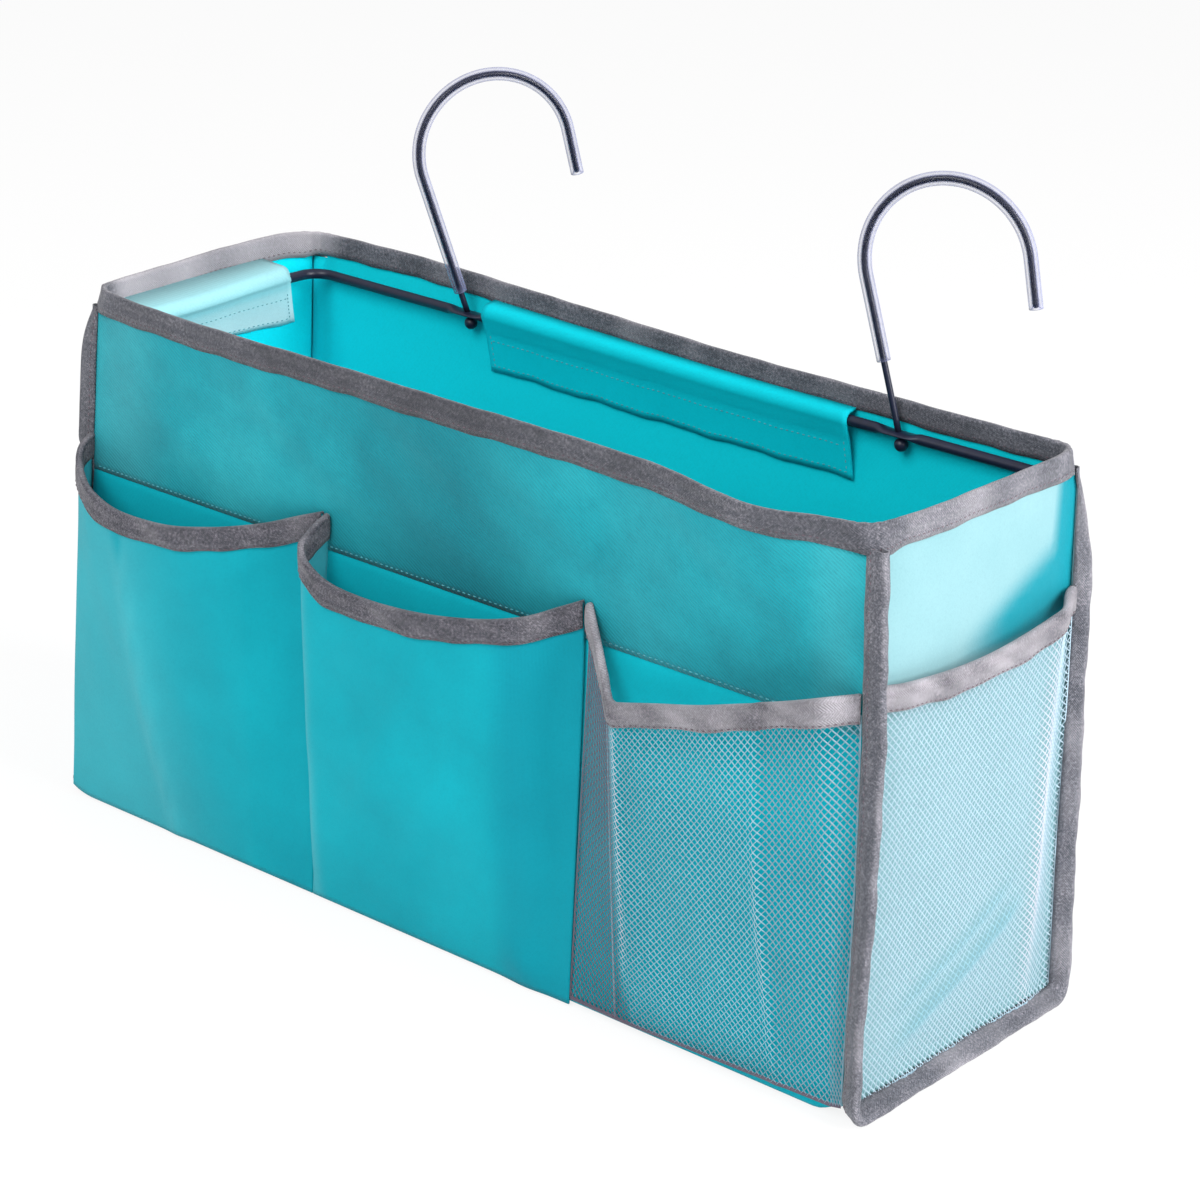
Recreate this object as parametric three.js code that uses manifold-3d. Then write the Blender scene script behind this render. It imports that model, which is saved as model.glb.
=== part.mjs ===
// Bedside caddy: an open-topped cloth box with pockets, stiffened by a wire frame and
// hung on two swivel hooks. Millimetres, +Z up, +X to the right, +Y towards the bed.
// The origin is the middle of the underside.
import * as THREE from 'three';
import { mergeVertices } from 'three/addons/utils/BufferGeometryUtils.js';
import Module from 'manifold-3d';

const wasm = await Module();
wasm.setup();

// Body
const bodyHeight = 220;
const baseLength = 388;
const rimLength = 374;
const baseDepth = 129;
const rimDepth = 118;
const cloth = 0.8;
const layerGap = 0.3;
const foldRadius = 5;
const trayLip = 16;
const seamHeight = 147.5;
const seamLap = 6;
const lapJoggle = 2;

// Binding tape and bound seams
const tape = 0.6;
const tapeFold = 10;
const seamFin = 9.5;
const baseSeamLift = 5;
const baseSeamRun = 14;
const finDroopDegrees = 24;
const rimCornerRadius = 6;

// Base board
const boardThickness = 2;
const boardMargin = 3;

// Pockets
const hemRise = 12.5;
const pocketFoot = 2;
const leftStitch = -64;
const rightStitch = 69;
const pocketDepth = 21;
const pocketSag = 19;
const pocketBelly = 2.5;
const meshPleat = 22;
const meshCornerInset = 8;
const meshDepth = 16;
const meshSag = 29;
const sidePocketDepth = 9;
const sidePocketFoot = 10;
const sideFoldInset = 10;
const sidePocketSag = 5;
const net = 0.8;
const netHemOverlap = 6;
const foldGap = 1;

// Frame rod and its casings
const rodDiameter = 4.2;
const rodDrop = 12;
const rodStandoff = 4.3;
const rodCornerRadius = 9;
const rodArmReach = 43;
const padLength = 10;
const padTaper = 5;
const padWidth = 7.4;
const padThickness = 1.9;
const hookHoleDiameter = 4;
const casingRoom = 0.8;
const casingRise = 0.7;
const casingStitchDrop = 8;
const casingDrop = 24;
const leftCasingClearance = 10;
const rightCasingClearance = 22;
const sideCasingLength = 90;

// Hooks
const wireDiameter = 2.4;
const ballDiameter = 5.4;
const sleeveOuter = 5.3;
const sleeveWall = 1.1;
const hookRadius = 31;
const hookBendDegrees = 185;
const hookShank = 60;
const hookTip = 17;
const sleeveOverhang = 1.4;
const leftHookPlace = -97;
const rightHookPlace = 116;
const leftHookYawDegrees = 56;
const rightHookYawDegrees = 18;
const leftHookLeanDegrees = 19.6;
const rightHookLeanDegrees = 16.3;
const leftSleeveStart = 7;
const rightSleeveStart = 28;

// Counts
const cornerSteps = 4;
const pocketSteps = 20;
const pocketLevels = 6;
const rodSides = 12;
const wireSides = 8;
const hookSteps = 24;
const meshFaceSteps = 8;
const meshFaceCells = [14, 16];
const meshPleatCells = [4, 16];
const meshCornerCells = [2, 16];
const sideFaceCells = [14, 16];
const sideEndCells = [2, 16];

// Colours
const turquoise = 0x12a9b8;
const turquoiseLight = 0x38b4c4;
const bindingGrey = 0x5f666d;
const netGrey = 0x9fb6bb;
const frameBlack = 0x17171a;
const sleeveClear = 0xdfe6ee;
const boardGrey = 0x55595c;

// Sizes that follow from the ones above
const halfLength = baseLength / 2;
const halfDepth = baseDepth / 2;
const rodRadius = rodDiameter / 2;
const rodHeight = bodyHeight - rodDrop;
const hemHalf = cloth / 2 + layerGap + tape;
const hemHeight = seamHeight + hemRise;
const gussetGap = layerGap + hemHalf;
const footGap = layerGap + cloth / 2;
const wingReach = seamFin - tape - 2 * layerGap;
const flangeNear = cloth + layerGap;
const flangeFar = flangeNear + cloth;
const tapeNear = flangeFar + layerGap;
const panelTop = bodyHeight - tape - layerGap;
const rimFoot = bodyHeight - tapeFold;
const wingTop = rimFoot - layerGap;
const finDroop = THREE.MathUtils.degToRad(finDroopDegrees);

const X = new THREE.Vector3(1, 0, 0);
const Y = new THREE.Vector3(0, 1, 0);
const Z = new THREE.Vector3(0, 0, 1);

function lerp(from, to, share) {
  return from + (to - from) * share;
}

function lengthShareAt(z) {
  return 1 - (1 - rimLength / baseLength) * z / bodyHeight;
}

function depthShareAt(z) {
  return 1 - (1 - rimDepth / baseDepth) * z / bodyHeight;
}

// Sewn pieces are laid out on an upright box, then drawn in towards the rim.
function drawIn(geometry) {
  const place = geometry.getAttribute('position');
  for (let i = 0; i < place.count; i += 1) {
    const z = place.getZ(i);
    place.setXYZ(i, place.getX(i) * lengthShareAt(z), place.getY(i) * depthShareAt(z), z);
  }
  return geometry;
}

function bare(geometry) {
  geometry.deleteAttribute('normal');
  geometry.deleteAttribute('uv');
  return mergeVertices(geometry);
}

// Turns a closed body's faces outwards if its volume comes out negative.
function outward(geometry) {
  const place = geometry.getAttribute('position');
  const index = geometry.getIndex();
  const corners = [new THREE.Vector3(), new THREE.Vector3(), new THREE.Vector3()];
  let volume = 0;
  for (let i = 0; i < index.count; i += 3) {
    corners.forEach((corner, k) => corner.fromBufferAttribute(place, index.getX(i + k)));
    volume += corners[0].dot(corners[1].clone().cross(corners[2]));
  }
  if (volume < 0) {
    for (let i = 0; i < index.count; i += 3) {
      const first = index.getX(i);
      index.setX(i, index.getX(i + 1));
      index.setX(i + 1, first);
    }
  }
  return geometry;
}

function closedBody(points, faces) {
  const geometry = new THREE.BufferGeometry().setFromPoints(points);
  geometry.setIndex(faces.flat());
  return outward(geometry);
}

function solid(geometry) {
  const body = geometry.getIndex() ? geometry : bare(geometry);
  const mesh = new wasm.Mesh({
    numProp: 3,
    vertProperties: new Float32Array(body.getAttribute('position').array),
    triVerts: new Uint32Array(body.getIndex().array),
  });
  return new wasm.Manifold(mesh);
}

function fromSolid(manifold) {
  const mesh = manifold.getMesh();
  const geometry = new THREE.BufferGeometry();
  geometry.setAttribute('position', new THREE.BufferAttribute(new Float32Array(mesh.vertProperties), 3));
  geometry.setIndex(Array.from(mesh.triVerts));
  return geometry;
}

function joined(...geometries) {
  return fromSolid(geometries.map(solid).reduce((whole, piece) => whole.add(piece)));
}

function cut(geometry, ...tools) {
  return fromSolid(tools.map(solid).reduce((whole, tool) => whole.subtract(tool), solid(geometry)));
}

function mirrored(geometry) {
  return outward(geometry.clone().scale(-1, 1, 1));
}

// Two triangles over four corners, split along the shorter diagonal.
function quad(points, a, b, c, d) {
  if (points[a].distanceTo(points[c]) < points[b].distanceTo(points[d])) return [[a, b, c], [a, c, d]];
  return [[a, b, d], [b, c, d]];
}

// Joins a row of sections into one closed body. A section is a thick line: the points of
// its outer side and as many of its inner side.
function ribbon(sections, closed = false) {
  const levels = sections[0].outer.length;
  const ringSize = 2 * levels;
  const points = sections.flatMap(({ outer, inner }) => [...outer, ...[...inner].reverse()]);
  const faces = [];
  const spans = closed ? sections.length : sections.length - 1;
  for (let i = 0; i < spans; i += 1) {
    const here = i * ringSize;
    const there = ((i + 1) % sections.length) * ringSize;
    for (let j = 0; j < ringSize; j += 1) {
      const next = (j + 1) % ringSize;
      faces.push(...quad(points, here + j, here + next, there + next, there + j));
    }
  }
  if (!closed) {
    const last = (sections.length - 1) * ringSize;
    for (let k = 0; k < levels - 1; k += 1) {
      const back = ringSize - 1 - k;
      faces.push(...quad(points, k + 1, k, back, back - 1));
      faces.push(...quad(points, last + k, last + k + 1, last + back - 1, last + back));
    }
  }
  return closedBody(points, faces);
}

// Extrudes a flat outline whose two axes and depth lie along the given directions.
function plate(outline, depth, along, up, deep) {
  const shape = new THREE.Shape(outline.map(([a, b]) => new THREE.Vector2(a, b)));
  const geometry = bare(new THREE.ExtrudeGeometry(shape, { depth, bevelEnabled: false }));
  return outward(geometry.applyMatrix4(new THREE.Matrix4().makeBasis(along, up, deep)));
}

// Offsets a line sideways by a distance, with mitred corners.
function offsetLine(line, distance) {
  return line.map((point, i) => {
    const before = line[Math.max(i - 1, 0)];
    const after = line[Math.min(i + 1, line.length - 1)];
    const into = new THREE.Vector2(point[0] - before[0], point[1] - before[1]);
    const out = new THREE.Vector2(after[0] - point[0], after[1] - point[1]);
    const first = (into.length() > 0 ? into : out).clone().normalize();
    const second = (out.length() > 0 ? out : into).clone().normalize();
    const sum = first.clone().add(second).normalize();
    const stretch = distance / Math.max(sum.dot(first), Math.SQRT1_2);
    return [point[0] - sum.y * stretch, point[1] + sum.x * stretch];
  });
}

function thickOutline(line, thickness) {
  return [...offsetLine(line, thickness / 2), ...offsetLine(line, -thickness / 2).reverse()];
}

// Half of the side seam's line, from the base up the front or the back: places on the
// cloth strip's outer face, the outward direction there and how far the fin droops.
function seamQuarter(lift, top, side) {
  const stations = [];
  for (let i = 0; i <= cornerSteps; i += 1) {
    const angle = i / cornerSteps * Math.PI / 2;
    stations.push({
      y: side * (halfDepth - foldRadius + foldRadius * Math.sin(angle)),
      z: lift + foldRadius - foldRadius * Math.cos(angle),
      out: new THREE.Vector3(0, side * Math.sin(angle), -Math.cos(angle)),
      droop: finDroop * (lift / baseSeamLift) * Math.cos(angle) ** 2,
    });
  }
  stations.push({ y: side * halfDepth, z: top, out: Y.clone().multiplyScalar(side), droop: 0 });
  return stations;
}

function seamLine(lift, top) {
  return [...seamQuarter(lift, top, -1).reverse(), ...seamQuarter(lift, top, 1)];
}

// A point of the bound seam: reach is the way out along the fin, depth the way inwards
// through its layers.
function finPoint(station, reach, depth) {
  const along = X.clone().multiplyScalar(Math.cos(station.droop));
  along.addScaledVector(station.out, Math.sin(station.droop));
  const through = station.out.clone().multiplyScalar(-Math.cos(station.droop));
  through.addScaledVector(X, Math.sin(station.droop));
  const point = new THREE.Vector3(halfLength, station.y, station.z);
  return point.addScaledVector(along, reach).addScaledVector(through, depth);
}

// Upper front: a flat panel whose ends run on into the bound seams below the rim.
function wallOutline(bottom) {
  const wing = halfLength + wingReach;
  const neck = halfLength - cloth / 2 - rimCornerRadius;
  const right = [[wing, bottom], [wing, wingTop], [neck, wingTop], [neck, panelTop]];
  const left = right.map(([x, z]) => [-x, z]).reverse();
  return [...right, ...left];
}

function frontUpperPanel() {
  const outline = wallOutline(seamHeight - seamLap / 2);
  return plate(outline, cloth, X, Z, Y.clone().negate()).translate(0, cloth - halfDepth, 0);
}

function backPanel() {
  const outline = wallOutline(trayLip + layerGap);
  return plate(outline, cloth, X, Z, Y.clone().negate()).translate(0, halfDepth, 0);
}

// Lower front: its top edge steps in behind the upper panel, where the two are lapped.
function frontLowerPanel() {
  const bottom = trayLip + layerGap;
  const lapFoot = seamHeight - seamLap / 2 - layerGap - lapJoggle;
  const middle = cloth / 2;
  const step = cloth + layerGap;
  const line = [
    [middle - halfDepth, bottom],
    [middle - halfDepth, lapFoot],
    [middle + step - halfDepth, lapFoot + lapJoggle],
    [middle + step - halfDepth, seamHeight + seamLap / 2],
  ];
  const innerHalf = halfLength - flangeFar - layerGap;
  const sheet = plate(thickOutline(line, cloth), 2 * innerHalf, Y, Z, X).translate(-innerHalf, 0, 0);
  const wing = halfLength + wingReach;
  const outline = [[-wing, bottom], [wing, bottom], [wing, lapFoot], [-wing, lapFoot]];
  const wings = plate(outline, cloth, X, Z, Y.clone().negate()).translate(0, cloth - halfDepth, 0);
  return joined(sheet, wings);
}

// The base: a shallow tray with rolled front and rear edges. Its ends rise to the side
// seams and run on into their drooping fins.
function bottomPanel() {
  const riseShares = [0, 0.25, 0.5, 0.75, 1];
  const section = (lift, reach) => {
    const stations = seamLine(lift, trayLip);
    return {
      outer: stations.map((station) => finPoint(station, reach, 0)),
      inner: stations.map((station) => finPoint(station, reach, cloth)),
    };
  };
  const half = riseShares.map((share) => {
    const lift = baseSeamLift * (1 - Math.cos(share * Math.PI)) / 2;
    const flat = section(lift, 0);
    const shift = -baseSeamRun * (1 - share);
    const flatten = (points) => points.map((point) => new THREE.Vector3(halfLength + shift, point.y, point.z));
    return { outer: flatten(flat.outer), inner: flatten(flat.inner) };
  });
  half.push(section(baseSeamLift, wingReach));
  const middle = ({ outer, inner }) => ({
    outer: outer.map((point) => point.clone().setX(0)),
    inner: inner.map((point) => point.clone().setX(0)),
  });
  const rightHalf = ribbon([middle(half[0]), ...half]);
  return joined(rightHalf, mirrored(rightHalf));
}

// A side wall with its edges turned out along the seam, where the tape binds them.
function sidePanel() {
  const stations = seamLine(baseSeamLift, wingTop);
  const edge = stations.map(({ y, z, out }) => [y - out.y * flangeNear, z - out.z * flangeNear]);
  const neck = halfDepth - cloth / 2 - rimCornerRadius;
  const outline = [...edge, [neck, wingTop], [neck, panelTop], [-neck, panelTop], [-neck, wingTop]];
  const wall = plate(outline, cloth, Y, Z, X).translate(halfLength - cloth, 0, 0);
  const flange = ribbon(stations.map((station) => ({
    outer: [-cloth / 2, wingReach].map((reach) => finPoint(station, reach, flangeNear)),
    inner: [-cloth / 2, wingReach].map((reach) => finPoint(station, reach, flangeFar)),
  })));
  return joined(wall, flange);
}

// Tape folded over the seam's edges, down the front, under the end and up the back.
function seamBinding() {
  const fold = (station, far, near, reach) => [
    finPoint(station, layerGap, -far),
    finPoint(station, reach, -far),
    finPoint(station, reach, near),
    finPoint(station, layerGap, near),
  ];
  return ribbon(seamLine(baseSeamLift, wingTop).map((station) => ({
    outer: fold(station, layerGap + tape, tapeNear + tape, seamFin),
    inner: fold(station, layerGap, tapeNear, seamFin - tape),
  })));
}

// Tape folded over the rim all the way round, with rounded corners.
function rimBinding() {
  const reach = [halfLength - cloth / 2, halfDepth - cloth / 2];
  const slot = cloth / 2 + layerGap + tape / 2;
  const sections = [];
  const quadrants = [[1, 1], [-1, 1], [-1, -1], [1, -1]];
  quadrants.forEach(([sideX, sideY], quadrant) => {
    for (let i = 0; i <= cornerSteps; i += 1) {
      const angle = (quadrant + i / cornerSteps) * Math.PI / 2;
      const out = new THREE.Vector3(Math.cos(angle), Math.sin(angle), 0);
      const centre = new THREE.Vector3(
        sideX * (reach[0] - rimCornerRadius),
        sideY * (reach[1] - rimCornerRadius),
        0,
      );
      const at = (side, z) => centre.clone().addScaledVector(out, rimCornerRadius + side).setZ(z);
      const fold = (half, top) => [at(half, rimFoot), at(half, top), at(-half, top), at(-half, rimFoot)];
      sections.push({ outer: fold(slot + tape, bodyHeight), inner: fold(slot, bodyHeight - tape) });
    }
  });
  return ribbon(sections, true);
}

function baseBoard() {
  const long = 2 * (halfLength - baseSeamRun - boardMargin);
  const deep = 2 * (halfDepth - foldRadius - boardMargin);
  const lift = cloth + boardThickness / 2;
  return bare(new THREE.BoxGeometry(long, deep, boardThickness)).translate(0, 0, lift);
}

// Walls that carry pockets: across runs along the wall, forward away from it.
const frontWall = (across, forward, z) => new THREE.Vector3(across, -halfDepth - forward, z);
const rightWall = (across, forward, z) => new THREE.Vector3(halfLength + forward, across, z);

// A pocket's sheet between its foot line and its hem line, both lists of places
// [across, forward, z]. It bellies out a little halfway up.
function pocketSheet(foot, hem, belly, wall) {
  const plan = (i, share) => {
    const swell = belly * Math.sin(share * Math.PI) * (hem[i].fullShare ?? 0);
    return [
      lerp(foot[i][0], hem[i][0], share),
      lerp(foot[i][1], hem[i][1], share) + swell,
      lerp(foot[i][2], hem[i][2], share),
    ];
  };
  return (i, share, side, rise = 0) => {
    const line = hem.map((_, k) => plan(k, share));
    const [across, forward] = offsetLine(line, side)[i];
    return wall(across, forward, line[i][2] + rise);
  };
}

function pocketCloth(sheet, count) {
  const levels = Array.from({ length: pocketLevels + 1 }, (_, k) => k / pocketLevels);
  return ribbon(Array.from({ length: count }, (_, i) => ({
    outer: levels.map((share) => sheet(i, share, cloth / 2)),
    inner: levels.map((share) => sheet(i, share, -cloth / 2)),
  })));
}

// Tape folded over a pocket's top edge.
function pocketHem(sheet, foot, hem) {
  const near = cloth / 2 + layerGap;
  const fold = (i, half, rise) => {
    const low = 1 - (tapeFold - layerGap - tape) / (hem[i][2] - foot[i][2]);
    return [
      sheet(i, low, half),
      sheet(i, 1, half, rise),
      sheet(i, 1, -half, rise),
      sheet(i, low, -half),
    ];
  };
  return ribbon(hem.map((_, i) => ({
    outer: fold(i, near + tape, layerGap + tape),
    inner: fold(i, near, layerGap),
  })));
}

// A cloth pocket from shares of its width, depth and sag along the hem. Its foot lies
// flat on the wall.
function clothPocket(left, right, hemShares) {
  const guide = new THREE.CatmullRomCurve3(hemShares.map((row) => new THREE.Vector3(...row)));
  const hem = [];
  const foot = [];
  for (let i = 0; i <= pocketSteps; i += 1) {
    const { x: acrossShare, y: forwardShare, z: sagShare } = guide.getPointAt(i / pocketSteps);
    const share = Math.min(Math.max(acrossShare, 0), 1);
    const place = [
      lerp(left, right, acrossShare),
      gussetGap + pocketDepth * forwardShare,
      hemHeight - layerGap - tape - pocketSag * sagShare,
    ];
    place.fullShare = Math.max(forwardShare, 0);
    hem.push(place);
    foot.push([lerp(left, right, share), footGap, pocketFoot]);
  }
  return { hem, foot };
}

const leftHemShares = [
  [0, 0, 0],
  [-0.012, 0.22, 0.12],
  [-0.008, 0.45, 0.3],
  [0.05, 0.7, 0.55],
  [0.15, 0.92, 0.85],
  [0.28, 1, 1],
  [0.45, 0.96, 0.98],
  [0.62, 0.78, 0.8],
  [0.8, 0.42, 0.5],
  [0.92, 0.12, 0.2],
  [1, 0, 0],
];
const middleHemShares = [
  [0, 0, 0],
  [0, 0.25, 0.1],
  [0, 0.5, 0.25],
  [0.006, 0.76, 0.42],
  [0.05, 0.9, 0.72],
  [0.16, 0.95, 0.98],
  [0.32, 1, 1],
  [0.5, 0.98, 0.92],
  [0.7, 0.84, 0.72],
  [0.84, 0.55, 0.5],
  [0.94, 0.16, 0.2],
  [1, 0, 0],
];

const endStitch = halfLength - 2 * layerGap;
const leftPocket = clothPocket(-endStitch, leftStitch - hemHalf, leftHemShares);
const middlePocket = clothPocket(
  leftStitch + layerGap + hemHalf,
  rightStitch - hemHalf,
  middleHemShares,
);

// The netting pockets are flat between folds: one fold at each end, with the hem's sag
// shared out along the face.
function foldedPocket(folds, sags, faceSteps) {
  const hem = [];
  const foot = [];
  const push = (low, high, sag) => {
    foot.push(low);
    hem.push([high[0], high[1], high[2] - sag]);
  };
  push(folds[0].foot, folds[0].hem, 0);
  for (let i = 0; i <= faceSteps; i += 1) {
    const share = i / faceSteps;
    const between = (from, to) => from.map((value, k) => lerp(value, to[k], share));
    push(between(folds[1].foot, folds[2].foot), between(folds[1].hem, folds[2].hem), sags(share));
  }
  push(folds[3].foot, folds[3].hem, 0);
  return { hem, foot };
}

const meshFoot = layerGap + net / 2;
const meshHemTop = hemHeight - layerGap - tape;
const meshSagShares = { left: 0.97, right: 0, corner: 0, dip: 0.05 };
const meshFolds = [
  {
    foot: [rightStitch + gussetGap, meshFoot, pocketFoot],
    hem: [rightStitch + gussetGap, gussetGap, meshHemTop],
  },
  {
    foot: [rightStitch + gussetGap + meshPleat * 1.2, meshFoot + net, pocketFoot],
    hem: [rightStitch + gussetGap + meshPleat, meshDepth, meshHemTop - meshSag * meshSagShares.left],
  },
  {
    foot: [endStitch - meshCornerInset / 2, meshFoot + 2 * net, pocketFoot],
    hem: [endStitch - meshCornerInset, meshDepth, meshHemTop - meshSag * meshSagShares.right],
  },
  {
    foot: [endStitch, meshFoot, pocketFoot],
    hem: [endStitch, gussetGap, meshHemTop - meshSag * meshSagShares.corner],
  },
];
const meshDip = (share) => meshSag * meshSagShares.dip * Math.sin(share * Math.PI);
const meshPocket = foldedPocket(meshFolds, meshDip, meshFaceSteps);

const sideEdge = halfDepth - tapeNear - tape - layerGap - hemHalf;
const sideFold = (side, inset, forward, z) => [side * (sideEdge - inset), forward, z];
const sideFolds = [
  {
    foot: sideFold(-1, 0, gussetGap, sidePocketFoot),
    hem: sideFold(-1, 0, gussetGap, meshHemTop),
  },
  {
    foot: sideFold(-1, sideFoldInset, gussetGap + net, sidePocketFoot),
    hem: sideFold(-1, sideFoldInset, sidePocketDepth, meshHemTop - sidePocketSag / 2),
  },
  {
    foot: sideFold(1, sideFoldInset, gussetGap + net, sidePocketFoot),
    hem: sideFold(1, sideFoldInset, sidePocketDepth, meshHemTop - sidePocketSag / 2),
  },
  {
    foot: sideFold(1, 0, gussetGap, sidePocketFoot),
    hem: sideFold(1, 0, gussetGap, meshHemTop),
  },
];
const sideDip = (share) => sidePocketSag / 2 * Math.sin(share * Math.PI);
const sidePocket = foldedPocket(sideFolds, sideDip, meshFaceSteps);

// Netting: a diagonal lattice with a diamond gap round every second grid point. The place
// of a grid point comes from shares across and up the sheet.
function netting([across, up], place) {
  const strandShare = 0.3;
  const points = [];
  const faces = [];
  const known = new Map();
  const vertex = (a, b, side) => {
    const key = `${a.toFixed(4)} ${b.toFixed(4)} ${side}`;
    if (!known.has(key)) {
      known.set(key, points.length);
      points.push(place(a / across, b / up, side));
    }
    return known.get(key);
  };
  const isGap = ([a, b]) => (a + b) % 2 === 1 && a > 0 && b > 0 && a < across && b < up;
  const onEdge = ([a, b], [c, d]) =>
    (a === c && (a === 0 || a === across)) || (b === d && (b === 0 || b === up));
  const towards = (from, to) => from.map((value, k) => lerp(value, to[k], strandShare));
  for (let a = 0; a < across; a += 1) {
    for (let b = 0; b < up; b += 1) {
      const square = [[a, b], [a + 1, b], [a + 1, b + 1], [a, b + 1]];
      const outline = [];
      const walls = [];
      square.forEach((corner, k) => {
        if (!isGap(corner)) {
          outline.push(corner);
          return;
        }
        walls.push(outline.length);
        outline.push(towards(square[(k + 3) % 4], corner), towards(square[(k + 1) % 4], corner));
      });
      outline.forEach((corner, k) => {
        if (onEdge(corner, outline[(k + 1) % outline.length])) walls.push(k);
      });
      const front = outline.map(([c, d]) => vertex(c, d, 1));
      const back = outline.map(([c, d]) => vertex(c, d, -1));
      for (let k = 1; k < outline.length - 1; k += 1) {
        faces.push([front[0], front[k], front[k + 1]], [back[0], back[k + 1], back[k]]);
      }
      walls.forEach((k) => {
        const next = (k + 1) % outline.length;
        faces.push([back[k], back[next], front[next]], [back[k], front[next], front[k]]);
      });
    }
  }
  return closedBody(points, faces);
}

// A piece of netting between two folds, held back a little from each. Its top edge dips
// with the hem.
function netPanel(cells, from, to, dip, wall, startGap, endGap) {
  const span = Math.hypot(to.hem[0] - from.hem[0], to.hem[1] - from.hem[1]);
  const place = (acrossShare, upShare, side) => {
    const share = lerp(startGap / span, 1 - endGap / span, acrossShare);
    const low = from.foot.map((value, k) => lerp(value, to.foot[k], share));
    const top = from.hem.map((value, k) => lerp(value, to.hem[k], share));
    top[2] -= dip(share);
    const cutShare = upShare * (1 - netHemOverlap / (top[2] - low[2]));
    const [across, forward, z] = low.map((value, k) => lerp(value, top[k], cutShare));
    const run = [to.hem[0] - from.hem[0], to.hem[1] - from.hem[1]];
    const half = side * net / 2 / Math.hypot(...run);
    return wall(across - run[1] * half, forward + run[0] * half, z);
  };
  return netting(cells, place);
}

// The cloth tunnel that holds the rod against a wall, with a flap sewn down below it.
function casing(length, roomShare) {
  const centre = rodStandoff / roomShare;
  const radius = (rodRadius + casingRoom + cloth / 2) / roomShare;
  const flat = layerGap + cloth / 2;
  const line = [[flat, rodHeight + casingRise]];
  for (let degrees = 90; degrees >= -60; degrees -= 30) {
    const angle = THREE.MathUtils.degToRad(degrees);
    line.push([centre + radius * Math.cos(angle), rodHeight + radius * Math.sin(angle)]);
  }
  line.push([flat, rodHeight - casingStitchDrop], [flat, rodHeight - casingDrop]);
  return plate(thickOutline(line, cloth), length, X, Z, Y.clone().negate()).translate(0, length / 2, 0);
}

// It fills the wall between the hooks, clear of their pads.
function rearCasing() {
  const share = lengthShareAt(rodHeight);
  const from = leftHookPlace + leftCasingClearance;
  const to = rightHookPlace - rightCasingClearance;
  const geometry = casing((to - from) / share, depthShareAt(rodHeight)).rotateZ(-Math.PI / 2);
  return geometry.translate((from + to) / 2 / share, halfDepth - cloth, 0);
}

function leftCasing() {
  const geometry = casing(sideCasingLength / depthShareAt(rodHeight), lengthShareAt(rodHeight));
  return geometry.translate(cloth - halfLength, 0, 0);
}

// The rod: two side arms, two round bends and the rear run with its flattened, drilled pads.
function frameRod() {
  const reachX = (halfLength - cloth) * lengthShareAt(rodHeight) - rodStandoff;
  const reachY = (halfDepth - cloth) * depthShareAt(rodHeight) - rodStandoff;
  const stations = [];
  const push = (x, y, angle, width, height) => stations.push({ x, y, angle, width, height });
  push(-reachX, -rodArmReach, Math.PI / 2, rodDiameter, rodDiameter);
  const bend = (side, from) => {
    for (let i = 0; i <= 2 * cornerSteps; i += 1) {
      const turn = from + i / (2 * cornerSteps) * Math.PI / 2;
      const x = side * (reachX - rodCornerRadius) + rodCornerRadius * Math.cos(Math.PI - turn);
      const y = reachY - rodCornerRadius + rodCornerRadius * Math.sin(Math.PI - turn);
      push(x, y, Math.PI / 2 - turn, rodDiameter, rodDiameter);
    }
  };
  bend(-1, 0);
  [leftHookPlace, rightHookPlace].forEach((place) => {
    const half = padLength / 2;
    const middleWidth = (padWidth + rodDiameter) / 2;
    const middleHeight = (padThickness + rodDiameter) / 2;
    push(place - half - padTaper, reachY, 0, rodDiameter, rodDiameter);
    push(place - half - padTaper / 2, reachY, 0, middleWidth, middleHeight);
    push(place - half, reachY, 0, padWidth, padThickness);
    push(place + half, reachY, 0, padWidth, padThickness);
    push(place + half + padTaper / 2, reachY, 0, middleWidth, middleHeight);
    push(place + half + padTaper, reachY, 0, rodDiameter, rodDiameter);
  });
  bend(1, Math.PI / 2);
  push(reachX, -rodArmReach, -Math.PI / 2, rodDiameter, rodDiameter);
  const rod = tube(stations.map(({ x, y, angle, width, height }) => {
    const sideways = new THREE.Vector3(-Math.sin(angle), Math.cos(angle), 0);
    return Array.from({ length: rodSides }, (_, k) => {
      const turn = k / rodSides * 2 * Math.PI;
      return new THREE.Vector3(x, y, rodHeight + height / 2 * Math.sin(turn))
        .addScaledVector(sideways, width / 2 * Math.cos(turn));
    });
  }));
  const drill = [leftHookPlace, rightHookPlace].map((place) => {
    const pin = new THREE.CylinderGeometry(hookHoleDiameter / 2, hookHoleDiameter / 2, rodDiameter, 16);
    return bare(pin.rotateX(Math.PI / 2)).translate(place, reachY, rodHeight);
  });
  return cut(rod, ...drill);
}

// Joins a row of rings of points into one closed body with fanned ends.
function tube(rings) {
  const size = rings[0].length;
  const points = rings.flat();
  const faces = [];
  for (let i = 0; i < rings.length - 1; i += 1) {
    for (let j = 0; j < size; j += 1) {
      const next = (j + 1) % size;
      const here = i * size;
      const there = here + size;
      faces.push([here + j, here + next, there + next], [here + j, there + next, there + j]);
    }
  }
  const last = (rings.length - 1) * size;
  for (let k = 1; k < size - 1; k += 1) {
    faces.push([0, k + 1, k], [last, last + k, last + k + 1]);
  }
  return closedBody(points, faces);
}

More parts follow.
